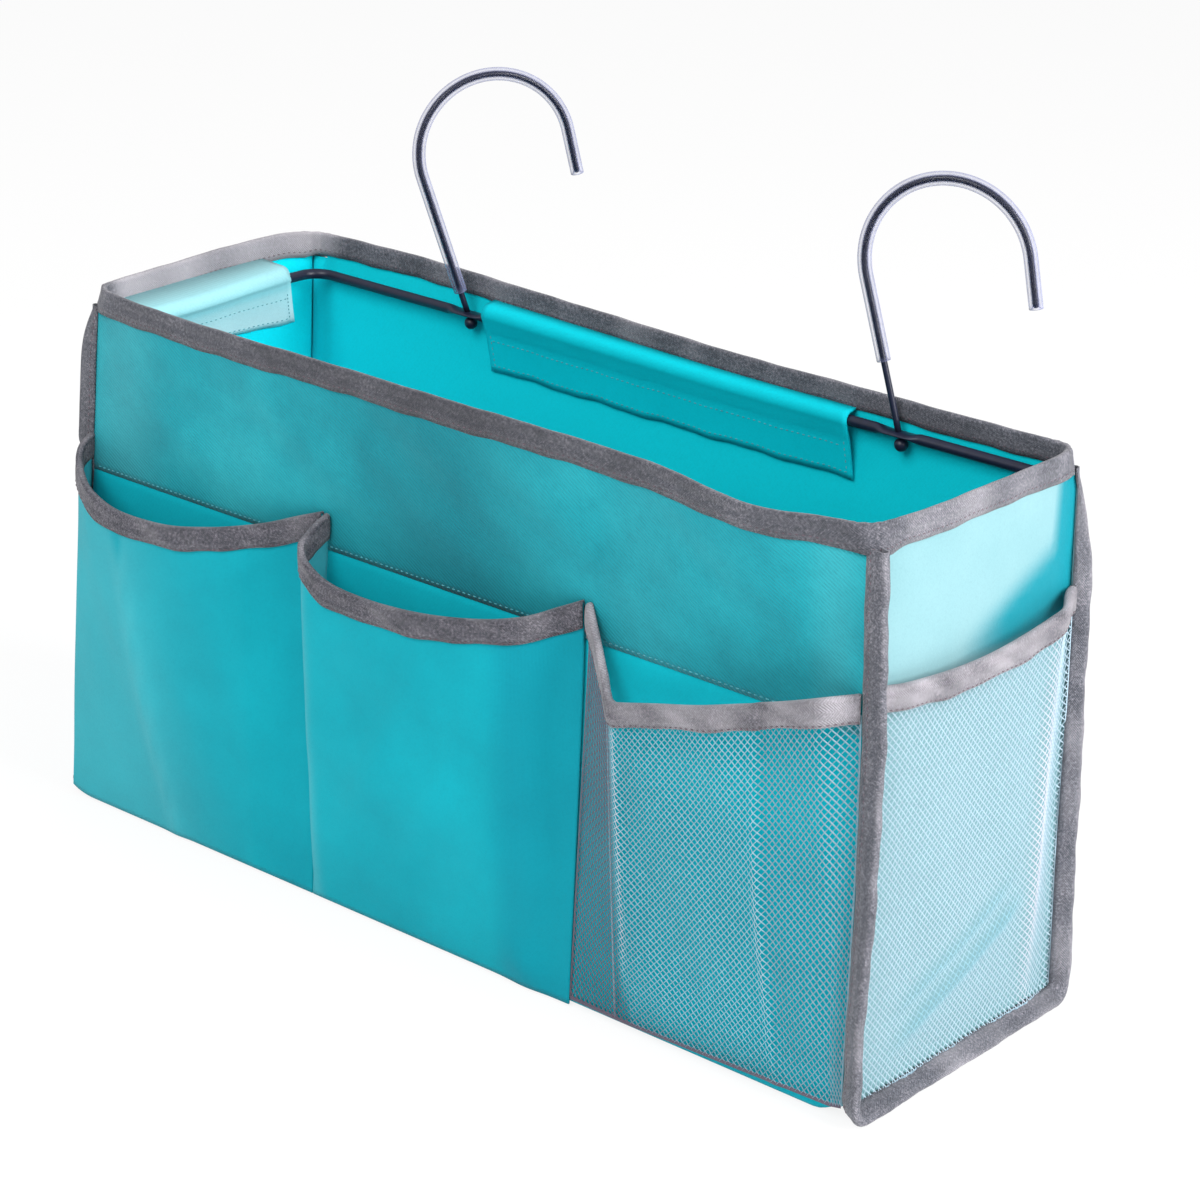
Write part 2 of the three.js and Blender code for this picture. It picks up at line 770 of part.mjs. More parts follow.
// A hook's centre line in its own frame: the shank goes up through the pad's hole, then
// bends over and ends in a short straight tip.
class HookLine extends THREE.Curve {
  constructor(start, overhang) {
    super();
    this.start = start;
    this.overhang = overhang;
  }

  // Two steps on each straight stretch, the rest round the bend.
  getUtoTmapping(share) {
    return share;
  }

  getPoint(share, target = new THREE.Vector3()) {
    const straightShare = 2 / hookSteps;
    const bend = THREE.MathUtils.degToRad(hookBendDegrees);
    if (share < straightShare) {
      return target.set(0, 0, lerp(this.start, hookShank, share / straightShare));
    }
    const turn = Math.min((share - straightShare) / (1 - 2 * straightShare), 1) * bend;
    const past = Math.max(share - 1 + straightShare, 0) / straightShare * (hookTip + this.overhang);
    return target.set(
      hookRadius - hookRadius * Math.cos(turn) + past * Math.sin(turn),
      0,
      hookShank + hookRadius * Math.sin(turn) + past * Math.cos(turn),
    );
  }
}

function roundSection(diameter, bore) {
  const circle = (size) => Array.from({ length: wireSides }, (_, k) => {
    const angle = k / wireSides * 2 * Math.PI;
    return new THREE.Vector2(size / 2 * Math.cos(angle), size / 2 * Math.sin(angle));
  });
  const shape = new THREE.Shape(circle(diameter));
  if (bore > 0) shape.holes.push(new THREE.Path(circle(bore).reverse()));
  return shape;
}

function alongHook(section, start, overhang) {
  const extrudePath = new HookLine(start, overhang);
  return bare(new THREE.ExtrudeGeometry(section, { steps: hookSteps, bevelEnabled: false, extrudePath }));
}

// Black wire with a ball upset on its lower end, just under the pad.
function hookWire(lean) {
  const drop = (padThickness / 2 + layerGap + ballDiameter / 2) / Math.cos(lean);
  const ball = bare(new THREE.SphereGeometry(ballDiameter / 2, 12, 8)).translate(0, 0, -drop);
  return joined(alongHook(roundSection(wireDiameter, 0), -drop, 0), outward(ball));
}

function hookSleeve(start) {
  const bore = sleeveOuter - 2 * sleeveWall;
  return alongHook(roundSection(sleeveOuter, bore), start, sleeveOverhang);
}

function finish(colour, roughness, metalness = 0) {
  return new THREE.MeshStandardMaterial({ color: colour, roughness, metalness });
}

function piece(name, geometry, material) {
  const mesh = new THREE.Mesh(geometry, material);
  mesh.name = name;
  return mesh;
}

const clothFinish = finish(turquoise, 0.8);
const twillFinish = finish(turquoiseLight, 0.85);
const tapeFinish = finish(bindingGrey, 0.9);
const netFinish = finish(netGrey, 0.7);
const wireFinish = finish(frameBlack, 0.35, 0.4);
const sleeveFinish = finish(sleeveClear, 0.15);
const boardFinish = finish(boardGrey, 0.8);

const caddy = new THREE.Group();

const sewn = (name, geometry, material) => caddy.add(piece(name, drawIn(geometry), material));
sewn('front_upper_panel', frontUpperPanel(), twillFinish);
sewn('front_lower_panel', frontLowerPanel(), clothFinish);
sewn('back_panel', backPanel(), clothFinish);
sewn('bottom_panel', bottomPanel(), clothFinish);
sewn('right_side_panel', sidePanel(), clothFinish);
sewn('left_side_panel', mirrored(sidePanel()), clothFinish);
sewn('base_board', baseBoard(), boardFinish);
sewn('rim_binding', rimBinding(), tapeFinish);
sewn('right_seam_binding', seamBinding(), tapeFinish);
sewn('left_seam_binding', mirrored(seamBinding()), tapeFinish);

[['left_pocket', leftPocket], ['middle_pocket', middlePocket]].forEach(([name, { hem, foot }]) => {
  const sheet = pocketSheet(foot, hem, pocketBelly, frontWall);
  sewn(name, pocketCloth(sheet, hem.length), clothFinish);
  sewn(`${name}_hem`, pocketHem(sheet, foot, hem), tapeFinish);
});

const level = () => 0;
const netPanels = [
  ['mesh_pocket_pleat', meshPleatCells, meshFolds, 0, level, frontWall, 0, foldGap],
  ['mesh_pocket_face', meshFaceCells, meshFolds, 1, meshDip, frontWall, foldGap, foldGap],
  ['mesh_pocket_corner', meshCornerCells, meshFolds, 2, level, frontWall, foldGap, 0],
  ['side_pocket_front_end', sideEndCells, sideFolds, 0, level, rightWall, 0, foldGap],
  ['side_pocket_face', sideFaceCells, sideFolds, 1, sideDip, rightWall, foldGap, foldGap],
  ['side_pocket_rear_end', sideEndCells, sideFolds, 2, level, rightWall, foldGap, 0],
];
netPanels.forEach(([name, cells, folds, first, dip, wall, startGap, endGap]) => {
  const geometry = netPanel(cells, folds[first], folds[first + 1], dip, wall, startGap, endGap);
  sewn(name, geometry, netFinish);
});
[['mesh_pocket_hem', meshPocket, frontWall], ['side_pocket_hem', sidePocket, rightWall]].forEach(
  ([name, { hem, foot }, wall]) => {
    sewn(name, pocketHem(pocketSheet(foot, hem, 0, wall), foot, hem), tapeFinish);
  },
);

sewn('rear_rod_casing', rearCasing(), clothFinish);
sewn('left_rod_casing', leftCasing(), clothFinish);
sewn('right_rod_casing', mirrored(leftCasing()), clothFinish);

caddy.add(piece('frame_rod', frameRod(), wireFinish));

const hooks = [
  ['left', leftHookPlace, leftHookYawDegrees, leftHookLeanDegrees, leftSleeveStart],
  ['right', rightHookPlace, rightHookYawDegrees, rightHookLeanDegrees, rightSleeveStart],
];
hooks.forEach(([side, place, yawDegrees, leanDegrees, sleeveStart]) => {
  const lean = THREE.MathUtils.degToRad(leanDegrees);
  const swivel = new THREE.Group();
  const reachY = (halfDepth - cloth) * depthShareAt(rodHeight) - rodStandoff;
  swivel.position.set(place, reachY, rodHeight);
  swivel.rotation.set(0, -lean, THREE.MathUtils.degToRad(yawDegrees), 'ZYX');
  swivel.add(piece(`${side}_hook`, hookWire(lean), wireFinish));
  swivel.add(piece(`${side}_hook_sleeve`, hookSleeve(sleeveStart), sleeveFinish));
  caddy.add(swivel);
});

export default caddy;
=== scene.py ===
# Bedside caddy: the cloth, netting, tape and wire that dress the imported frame.
# Layouts are in millimetres on the frame's axes and become metres when a mesh is made.
import math

import bpy
import numpy as np
from mathutils import Matrix, Vector


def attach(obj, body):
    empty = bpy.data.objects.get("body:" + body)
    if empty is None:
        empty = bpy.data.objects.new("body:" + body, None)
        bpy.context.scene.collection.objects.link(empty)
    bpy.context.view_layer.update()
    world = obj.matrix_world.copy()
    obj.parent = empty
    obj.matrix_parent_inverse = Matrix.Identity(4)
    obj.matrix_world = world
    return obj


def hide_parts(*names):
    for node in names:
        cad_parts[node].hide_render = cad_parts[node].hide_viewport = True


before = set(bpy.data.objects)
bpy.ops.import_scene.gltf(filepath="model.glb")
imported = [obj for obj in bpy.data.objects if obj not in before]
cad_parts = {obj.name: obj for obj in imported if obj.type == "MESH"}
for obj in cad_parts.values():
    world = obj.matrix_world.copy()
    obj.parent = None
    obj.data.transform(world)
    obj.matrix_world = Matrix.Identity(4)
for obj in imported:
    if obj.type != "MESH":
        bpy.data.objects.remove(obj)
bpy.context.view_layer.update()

MM = 0.001

# Body
BODY_HEIGHT = 220.0
BASE_LENGTH = 388.0
RIM_LENGTH = 374.0
BASE_DEPTH = 129.0
RIM_DEPTH = 118.0
HALF_LENGTH = BASE_LENGTH / 2
HALF_DEPTH = BASE_DEPTH / 2
LENGTH_TAPER = 1 - RIM_LENGTH / BASE_LENGTH
DEPTH_TAPER = 1 - RIM_DEPTH / BASE_DEPTH
CLOTH = 0.8
LAYER_GAP = 0.3
FOLD_RADIUS = 3.8
SEAM_HEIGHT = 147.5
SEAM_LAP = 6.0
LAP_JOGGLE = 2.0
LAP_STITCH_DROP = 1.4
LAP_STITCH_LIFT = 0.15

# Tape and bound seams
TAPE = 0.6
TAPE_FOLD = 10.0
SEAM_FIN = 9.5
WING_REACH = SEAM_FIN - TAPE - 2 * LAYER_GAP
BASE_SEAM_LIFT = 5.0
BASE_SEAM_RUN = 14.0
FIN_DROOP = math.radians(24)
REAR_LEAN = math.radians(40)
FRONT_LEFT_LEAN = math.radians(-55)
FRONT_RIGHT_LEANS = math.radians(10), math.radians(32)
RIM_CORNER_RADIUS = 6.0
RIM_FLARES = [(1, -1, 5.5), (-1, -1, 3.0), (1, 1, 2.0), (-1, 1, 2.0)]
REAR_TAPE_LIFT = 1.5
FLANGE_DEPTH = 1.5 * CLOTH + LAYER_GAP
TAPE_OUTER_DEPTH = -(LAYER_GAP + TAPE / 2)
TAPE_INNER_DEPTH = 2 * CLOTH + 2 * LAYER_GAP + TAPE / 2
HEM_HALF = CLOTH / 2 + LAYER_GAP + TAPE / 2
PANEL_TOP = BODY_HEIGHT - TAPE - LAYER_GAP
WING_TOP = BODY_HEIGHT - TAPE_FOLD - LAYER_GAP

# The unstiffened rim stands out between its corners, and its rear left corner is drawn up
FRONT_BOW = 7.0
FRONT_BULGE = 4.5
FRONT_SAG = 3.2
FRONT_BULGE_PLACE = 146.0
FRONT_BULGE_SPREAD = 30.0
CORNER_PUSH = 5.0
CORNER_PULL = 1.5
CORNER_PUSH_START = 90.0
LEFT_BOW = 7.0
RIGHT_BOW = 4.0
REAR_BOW = 2.5
CORNER_RISE = 4.0
BOW_START = 140.0
LEFT_SHIFT = 4.4
LEFT_SHIFT_START = 100.0

# Painted light and painted shade on the twill, for its billows and highlights: place, spread and strength,
# positive for painted light and negative for painted shade
TWILL_PAINTED_SHADING = [(-178, 22, 0.24), (-110, 30, 0.1), (90, 35, 0.12), (182, 12, 0.2), (0, 45, -0.6)]

# Cloth pockets, and their hems as shares of the way across, the depth and the sag
HEM_HEIGHT = 160.0
HEM_FOLD = 8.6
POCKET_FOOT = 0.7
POCKET_CLOSE = 1.25
POCKET_CORNER = 2.5
LEFT_STITCH = -64.0
RIGHT_STITCH = 69.0
POCKET_DEPTH = 21.0
POCKET_SAG = 19.0
POCKET_BELLY = 2.5
END_STITCH = HALF_LENGTH - 2 * LAYER_GAP
FOOT_GAP = LAYER_GAP + CLOTH / 2
GUSSET_GAP = FOOT_GAP + LAYER_GAP + TAPE
HEM_LINE = HEM_HEIGHT - LAYER_GAP - TAPE
HEM_EDGE = CLOTH / 2 + LAYER_GAP + TAPE
LEFT_CREASE_FOOT = -140.0
LEFT_CREASE_TOP = -161.0
LEFT_HEM_SHARES = [
    [0, 0, 0], [-0.01, 0.18, 0.12], [0.0, 0.36, 0.3], [0.05, 0.64, 0.55], [0.15, 0.9, 0.85], [0.28, 1, 1],
    [0.45, 0.96, 0.98], [0.62, 0.78, 0.8], [0.8, 0.42, 0.5], [0.92, 0.12, 0.2], [1, 0, 0],
]
MIDDLE_HEM_SHARES = [
    [0, 0, 0], [0, 0.25, 0.1], [0, 0.5, 0.25], [0.006, 0.76, 0.42], [0.05, 0.9, 0.72], [0.16, 0.95, 0.98],
    [0.32, 1, 1], [0.5, 0.98, 0.92], [0.7, 0.84, 0.72], [0.84, 0.55, 0.5], [0.94, 0.16, 0.2], [1, 0, 0],
]

# Netting
NET_PITCH = 2.9
NET_WIDTHS = {1: 0.3, -1: 0.48}
NET_EDGE = 0.6
NET_HEM = 1.6
NET_RIDGE = 0.7
NET_THICKNESS = 0.32
NET_TOP_LAP = 6.0
NET_FOOT = 3.6
NET_FOOT_RIGHT = 6.5
MESH_PLEAT = 22.0
MESH_CORNER_INSET = 8.0
MESH_DEPTH = 16.0
MESH_DROP = 28.13
MESH_DIP = 1.45
MESH_START = RIGHT_STITCH + GUSSET_GAP
SIDE_POCKET_DEPTH = 9.0
SIDE_FOLD_INSET = 10.0
SIDE_POCKET_SAG = 4.0
SIDE_EDGE = HALF_DEPTH - 2 * CLOTH - 3 * LAYER_GAP - TAPE - HEM_EDGE
SIDE_HEM_RISES = 2.5, 1.5, 4.5, 8.0
SIDE_NET_FOOT = 6.8
SIDE_NET_REACH = 2.4

# Frame rod and its casings
ROD_RADIUS = 2.1
ROD_HEIGHT = BODY_HEIGHT - 12.0
ROD_STANDOFF = 4.3
ROD_CORNER_RADIUS = 9.0
ROD_ARM_REACH = 43.0
PAD_LENGTH = 10.0
PAD_TAPER = 5.0
PAD_WIDTH = 7.4
PAD_THICKNESS = 1.9
HOOK_HOLE_RADIUS = 2.0
CASING_ROOM = 0.8
CASING_RISE = 0.7
LOOSE_CASING_RISE = 4.0
CASING_STITCH_DROP = 8.0
CASING_DROP = 24.0
CASING_SEAM_ROW = 19
SIDE_CASING_LENGTH = 90.0
LEFT_CASING_SHORTER = 14.0
LEFT_CASING_SKEW = 17.0
LEFT_CASING_CLEARANCE = 10.0
RIGHT_CASING_CLEARANCE = 22.0

# Hooks: their places on the rod, the way they turn and lean, and where their sleeves start
WIRE_RADIUS = 1.2
BALL_RADIUS = 2.7
SLEEVE_RADIUS = 2.65
SLEEVE_BORE = 1.55
SLEEVE_SIDES = 28
SLEEVE_OVERHANG = 1.4
HOOK_RADIUS = 31.0
HOOK_BEND = math.radians(185)
HOOK_SHANK = 60.0
HOOK_TIP = 17.0
LEFT_HOOK_PLACE = -97.0
RIGHT_HOOK_PLACE = 116.0
LEFT_HOOK = {"yaw": 56, "lean": 19.6, "sleeve_start": 10.0}
RIGHT_HOOK = {"yaw": 18, "lean": 16.3, "sleeve_start": 28.0}

# Thread: along one stitch, the shares of its length and its girths there
STITCH_PITCH = 2.6
STITCH_LENGTH = 1.5
STITCH_WIDTH = 0.5
STITCH_RINGS = [(-0.5, 0.35), (-0.25, 1.0), (0.25, 1.0), (0.5, 0.35)]

# Camera, in millimetres, and studio, in metres
CAMERA_PLACE = (760.06, -911.05, 577.60)
CAMERA_RIGHT = (0.76637, 0.64104, 0.04181)
CAMERA_UP = (-0.25850, 0.24816, 0.93359)
CAMERA_FORWARD = (-0.58809, 0.72629, -0.35589)
CAMERA_LENS = 99
CAMERA_SENSOR = 36
FLOOR_HALF = 6.0
FLOOR_DROP = 0.0005
FLOOR_PALE = 0.9
FLOOR_GLOW = 0.86
WORLD_LEVELS = 0.6, 1.0
KEY_LIGHT = {"place": (0.2, -1.6, 1.5), "target": (0, 0, 0.1), "size": (1.2, 1.2), "power": 35}
RIGHT_LIGHT = {
    "place": (1.5, 0.15, 0.85), "target": (0.1, 0, 0.12), "size": (1.0, 1.2), "power": 50,
    "colour": (1, 0.98, 0.98),
}


# Helpers


def ease(value):
    """Runs smoothly from 0 to 1 as the value does."""
    value = np.clip(value, 0.0, 1.0)
    return value * value * (3 - 2 * value)


def hump(value, width):
    """A bell that is 1 at nothing and fades over the width."""
    return np.exp(-((value / width) ** 2))


def wave(value, *terms):
    """A sum of slow sines: each term is a wavelength in millimetres, a height and a phase."""
    total = np.zeros_like(np.asarray(value, float))
    for length, height, phase in terms:
        total = total + height * np.sin(value * 2 * math.pi / length + phase)
    return total


def stack(*parts):
    """Puts coordinates together along a last axis, each spread out to the largest."""
    return np.stack(np.broadcast_arrays(*parts), -1)


def unit(vectors):
    return vectors / np.maximum(np.linalg.norm(vectors, axis=-1, keepdims=True), 1e-9)


def normals_of(grid):
    return unit(np.cross(np.gradient(grid, axis=0), np.gradient(grid, axis=1)))


def lengths_along(line):
    steps = np.linalg.norm(np.diff(line, axis=0), axis=1)
    return np.concatenate([[0], np.cumsum(steps)])


def resample(line, count, at=None):
    """Evenly spaced points along a line, by its own lengths or by those given."""
    line = np.asarray(line, float)
    at = lengths_along(line) if at is None else at
    places = np.linspace(0, at[-1], count)
    return np.stack([np.interp(places, at, line[:, k]) for k in range(line.shape[1])], -1)


def bows(x, y, z):
    """How far the wall stands out beyond the straight box, in x, y and z."""
    height = np.clip((z - BOW_START) / (BODY_HEIGHT - BOW_START), 0, 1.1) ** 1.3
    along = np.clip(1 - np.abs(x / HALF_LENGTH) ** 8, 0, 1)
    across = np.clip(1 - np.abs(y / HALF_DEPTH) ** 6, 0, 1)
    front = np.clip(-y / HALF_DEPTH, 0, 1) ** 2
    rear = np.clip(y / HALF_DEPTH, 0, 1) ** 2
    left = np.clip(-x / HALF_LENGTH, 0, 1) ** 6
    right = np.clip(x / HALF_LENGTH, 0, 1) ** 6
    bulge = FRONT_BULGE * hump(x - FRONT_BULGE_PLACE, FRONT_BULGE_SPREAD)
    lean = ease((70 - x) / 230)
    out_y = rear * REAR_BOW * along * lean - front * (FRONT_BOW + bulge) * along
    out_x = (right * RIGHT_BOW - left * LEFT_BOW) * across
    rise = CORNER_RISE * lean * ease((y + 45) / 100) - FRONT_SAG / FRONT_BULGE * bulge * front
    push = front * right * np.clip((z - CORNER_PUSH_START) / (BODY_HEIGHT - CORNER_PUSH_START), 0, 1.1) ** 1.3
    stretch = LEFT_SHIFT * np.clip((-x - LEFT_SHIFT_START) / (HALF_LENGTH - LEFT_SHIFT_START), 0, 1.1) ** 2
    stretch = stretch * (1 - 0.85 * ease((y + 20) / 80))
    return out_x * height - stretch - CORNER_PULL * push, out_y * height - CORNER_PUSH * push, rise * height


def draw_in(points):
    """Takes points laid out on an upright box to the caddy, which narrows towards its rim."""
    x, y, z = np.moveaxis(np.asarray(points, float), -1, 0)
    share = z / BODY_HEIGHT
    out_x, out_y, rise = bows(x, y, z)
    return stack(x * (1 - LENGTH_TAPER * share) + out_x, y * (1 - DEPTH_TAPER * share) + out_y, z + rise)


def grid_faces(rows, cols, around=False, keep=None):
    """Four-sided faces over a grid of rows and columns; around joins the last column to the first."""
    faces = []
    for i in range(rows - 1):
        for j in range(cols if around else cols - 1):
            if keep is None or keep(i, j):
                k = (j + 1) % cols
                faces.append((i * cols + j, i * cols + k, (i + 1) * cols + k, (i + 1) * cols + j))
    return faces


def shifted(faces, start):
    """The same faces over points that come later in the list."""
    return [tuple(start + k for k in face) for face in faces]


def repeated(faces, size, total):
    """The same faces over each group of points."""
    return [face for start in range(0, total, size) for face in shifted(faces, start)]


def tube_faces(rings, sides):
    """Faces of a tube with both ends closed."""
    ends = [tuple(range(sides))[::-1], tuple((rings - 1) * sides + k for k in range(sides))]
    return grid_faces(rings, sides, around=True) + ends


def tube_rings(line, radii, sides=20, up=(0, 0, 1)):
    """Rings of points round a line. radii is one pair per point: across and along up."""
    line = np.asarray(line, float)
    run = np.gradient(line, axis=0)
    run /= np.linalg.norm(run, axis=1, keepdims=True)
    side = np.cross(run, np.broadcast_to(np.asarray(up, float), run.shape))
    side /= np.linalg.norm(side, axis=1, keepdims=True)
    over = np.cross(side, run)
    turn = np.linspace(0, 2 * math.pi, sides, endpoint=False)
    radii = np.broadcast_to(np.asarray(radii, float), (len(line), 2))
    across = side[:, None] * np.cos(turn)[None, :, None] * radii[:, 0, None, None]
    along_up = over[:, None] * np.sin(turn)[None, :, None] * radii[:, 1, None, None]
    return line[:, None] + across + along_up


def make_piece(
    name, points, material, slot, replaces=(), faces=None, keep=None, body="caddy",
    uv=None, thick=0.0, smooth=True, painted_shading_and_tone=None,
):
    """A mesh from millimetre points, riding on its body, with its finish and its thickness. Points
    without faces are a grid. The shading given to its points is positive where painted light makes
    the surface paler and negative where painted shade makes it deeper; on tapes it also carries random tone."""
    points = np.asarray(points, float)
    if faces is None:
        faces = grid_faces(*points.shape[:2], keep=keep)
    mesh = bpy.data.meshes.new(name)
    mesh.from_pydata((points.reshape(-1, 3) * MM).tolist(), [], [tuple(map(int, face)) for face in faces])
    if uv is not None:
        layer = mesh.uv_layers.new(name="millimetres")
        corner = np.zeros(len(mesh.loops), int)
        mesh.loops.foreach_get("vertex_index", corner)
        layer.data.foreach_set("uv", np.asarray(uv, float).reshape(-1, 2)[corner].ravel())
    # Painted light and painted shade, with some random tone on tapes, stored on the points for the material
    if painted_shading_and_tone is not None:
        field = mesh.attributes.new("painted_shading_and_tone", "FLOAT", "POINT")
        field.data.foreach_set("value", np.asarray(painted_shading_and_tone, float).ravel())
    mesh.validate()
    mesh.polygons.foreach_set("use_smooth", [smooth] * len(mesh.polygons))
    mesh.materials.append(material)
    piece = bpy.data.objects.new(name, mesh)
    bpy.context.collection.objects.link(piece)
    if thick:
        shell = piece.modifiers.new("thickness", "SOLIDIFY")
        shell.thickness = thick * MM
        shell.offset = 0
        shell.use_even_offset = slot != "tape"
    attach(piece, body)
    if replaces:
        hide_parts(*replaces)
    return piece


# Materials


def linear(red, green, blue):
    """Linear colour from 0 to 255 screen values."""
    share = np.array([red, green, blue]) / 255
    return tuple(np.where(share <= 0.04045, share / 12.92, ((share + 0.055) / 1.055) ** 2.4))


class Shader:
    """A node tree put together one call at a time. Colours are given as 0 to 255 screen values."""

    def __init__(self, owner):
        owner.use_nodes = True
        self.owner = owner
        self.nodes = owner.node_tree.nodes
        self.surface = self.nodes.get("Principled BSDF")

    def add(self, kind, **settings):
        node = self.nodes.new(f"ShaderNode{kind}")
        for key, value in settings.items():
            setattr(node, key, value)
        return node

    def link(self, source, target):
        self.owner.node_tree.links.new(source, target)

    def give(self, socket, given):
        if hasattr(given, "is_linked"):
            self.link(given, socket)
        else:
            socket.default_value = given

    def set(self, **values):
        for key, value in values.items():
            self.surface.inputs[key.replace("_", " ")].default_value = value

    def math(self, operation, *inputs):
        node = self.add("Math", operation=operation)
        for socket, given in zip(node.inputs, inputs):
            self.give(socket, given)
        return node.outputs[0]

    def span(self, source, low, high, start=0.0):
        node = self.add("MapRange")
        node.inputs["From Min"].default_value = start
        node.inputs["To Min"].default_value = low
        node.inputs["To Max"].default_value = high
        self.link(source, node.inputs["Value"])
        return node.outputs[0]

    def noise(self, scale, detail=3.0, roughness=0.55):
        node = self.add("TexNoise")
        node.inputs["Scale"].default_value = scale
        node.inputs["Detail"].default_value = detail
        node.inputs["Roughness"].default_value = roughness
        self.link(self.add("TexCoord").outputs["Object"], node.inputs["Vector"])
        return node.outputs["Fac"]

    def sheet_place(self, turn=0.0):
        """Where a point lies on its sheet, in millimetres, turned by an angle."""
        mapping = self.add("Mapping")
        mapping.inputs["Rotation"].default_value = (0, 0, math.radians(turn))
        self.link(self.add("UVMap", uv_map="millimetres").outputs[0], mapping.inputs["Vector"])
        split = self.add("SeparateXYZ")
        self.link(mapping.outputs[0], split.inputs[0])
        return split.outputs[0], split.outputs[1]

    def yarns(self, coordinate, pitch):
        """Ridges of one yarn after another, from 0 to 1."""
        angle = self.math("MULTIPLY", coordinate, 2 * math.pi / pitch)
        return self.math("MULTIPLY_ADD", self.math("SINE", angle), 0.5, 0.5)

    def ramp(self, factor, *stops):
        node = self.add("ValToRGB")
        ramp = node.color_ramp
        while len(ramp.elements) < len(stops):
            ramp.elements.new(0.5)
        for element, (place, colour) in zip(ramp.elements, stops):
            element.position = place
            element.color = (*linear(*colour), 1)
        self.link(factor, node.inputs[0])
        return node.outputs[0]

    def mix(self, factor, first, second, blend="MIX"):
        node = self.add("Mix", data_type="RGBA", blend_type=blend)
        self.give(node.inputs[0], factor)
        for socket, given in ((node.inputs[6], first), (node.inputs[7], second)):
            self.give(socket, given if hasattr(given, "is_linked") else (*linear(*given), 1))
        return node.outputs[2]

    def with_painted_shading(self, base, painted_light, painted_shade):
        """Mixes in painted light where the points' shading value is above nothing and painted shade where it
        is below.
        """
        painted_shading_and_tone = self.add("Attribute", attribute_name="painted_shading_and_tone").outputs["Fac"]
        up = self.math("MAXIMUM", painted_shading_and_tone, 0.0)
        down = self.math("MAXIMUM", self.math("MULTIPLY", painted_shading_and_tone, -1.0), 0.0)
        return self.mix(down, self.mix(up, base, painted_light), painted_shade)

    def colour(self, base, shade=None):
        """The surface's colour, darkened by a shade from 0 to 1 where one is given."""
        if shade is not None:
            grey = self.ramp(shade, (0, (0, 0, 0)), (1, (255, 255, 255)))
            base = self.mix(1.0, base, grey, "MULTIPLY")
        self.link(base, self.surface.inputs["Base Color"])

    def roughness(self, source, low, high):
        self.link(self.span(source, low, high), self.surface.inputs["Roughness"])

    def bump(self, height, distance):
        node = self.add("Bump")
        node.inputs["Distance"].default_value = distance * MM
        node.inputs["Strength"].default_value = 1.0
        self.link(height, node.inputs["Height"])
        self.link(node.outputs[0], self.surface.inputs["Normal"])


def cloth_material(name, colour, light, painted_light, painted_shade, sheen=0.04):
    """Plain-woven polyester: two sets of yarns, slow unevenness, a soft sheen, and painted light and
    painted shade where the points' shading value sets them."""
    shader = Shader(bpy.data.materials.new(name))
    across, up = shader.sheet_place()
    yarns = shader.math("MAXIMUM", shader.yarns(across, 0.55), shader.yarns(up, 0.55 * 0.9))
    slow = shader.noise(22, 4.0)
    fine = shader.noise(1000, 3.0, roughness=0.8)
    base = shader.with_painted_shading(shader.ramp(slow, (0.3, colour), (0.7, light)), painted_light, painted_shade)
    shade = shader.math("MULTIPLY_ADD", yarns, 0.18, 0.85)
    shade = shader.math("MULTIPLY", shade, shader.math("MULTIPLY_ADD", fine, 0.36, 0.81))
    shader.colour(base, shade)
    shader.roughness(slow, 0.68, 0.86)
    shader.bump(shader.math("MULTIPLY_ADD", shader.noise(160, 3.0), 2.0, yarns), 0.06)
    shader.set(Sheen_Weight=sheen, Sheen_Roughness=0.45, Specular_IOR_Level=0.1)
    return shader.owner


def twill_material(name, dark, mid, light):
    """Teased twill: broken diagonal ribs over a cloudy ground."""
    shader = Shader(bpy.data.materials.new(name))
    across, up = shader.sheet_place(turn=-57)
    ribs = shader.yarns(across, 1.25)
    cross = shader.yarns(up, 0.7)
    slow = shader.noise(16, 5.0, roughness=0.62)
    fine = shader.noise(620, 4.0, roughness=0.75)
    base = shader.ramp(slow, (0.3, dark), (0.5, mid), (0.7, light))
    pattern = shader.math("MULTIPLY_ADD", ribs, 0.2, shader.math("MULTIPLY", cross, 0.06))
    shade = shader.math("ADD", pattern, shader.math("MULTIPLY_ADD", fine, 0.42, 0.62))
    # The twill's painted highlight colour and its painted shade colour
    shader.colour(shader.with_painted_shading(base, (96, 176, 184), (0, 96, 108)), shade)
    shader.roughness(ribs, 0.66, 0.88)
    shader.bump(shader.math("MULTIPLY_ADD", fine, 1.2, ribs), 0.1)
    shader.set(Sheen_Weight=0.08, Sheen_Roughness=0.5, Specular_IOR_Level=0.15)
    return shader.owner


def tape_material(name, dark, mid, light):
    """Herringbone tape: fine ribs that slant up to its middle and down again, mottled at random, with painted
    light and painted shade where the points' shading value sets them.
    """
    shader = Shader(bpy.data.materials.new(name))
    along, up = shader.sheet_place()
    zigzag = shader.math("PINGPONG", up, TAPE_FOLD / 4)
    ribs = shader.yarns(shader.math("MULTIPLY_ADD", zigzag, 1.1, along), 1.05)
    patches = shader.noise(90, 4.0, roughness=0.6)
    specks = shader.noise(1100, 3.0, roughness=0.85)
    weight = shader.math("MULTIPLY_ADD", specks, 0.8, shader.math("MULTIPLY", patches, 0.2))
    base = shader.ramp(weight, (0.36, dark), (0.5, mid), (0.66, light))
    shade = shader.math("MULTIPLY_ADD", ribs, 0.2, 0.8)
    # Painted light colour and painted shade colour for the tapes
    shader.colour(shader.with_painted_shading(base, (206, 202, 208), (40, 40, 46)), shade)
    shader.roughness(patches, 0.62, 0.86)
    shader.bump(shader.math("MULTIPLY_ADD", specks, 0.8, ribs), 0.14)
    shader.set(Sheen_Weight=0.15, Sheen_Roughness=0.4, Specular_IOR_Level=0.2)
    return shader.owner


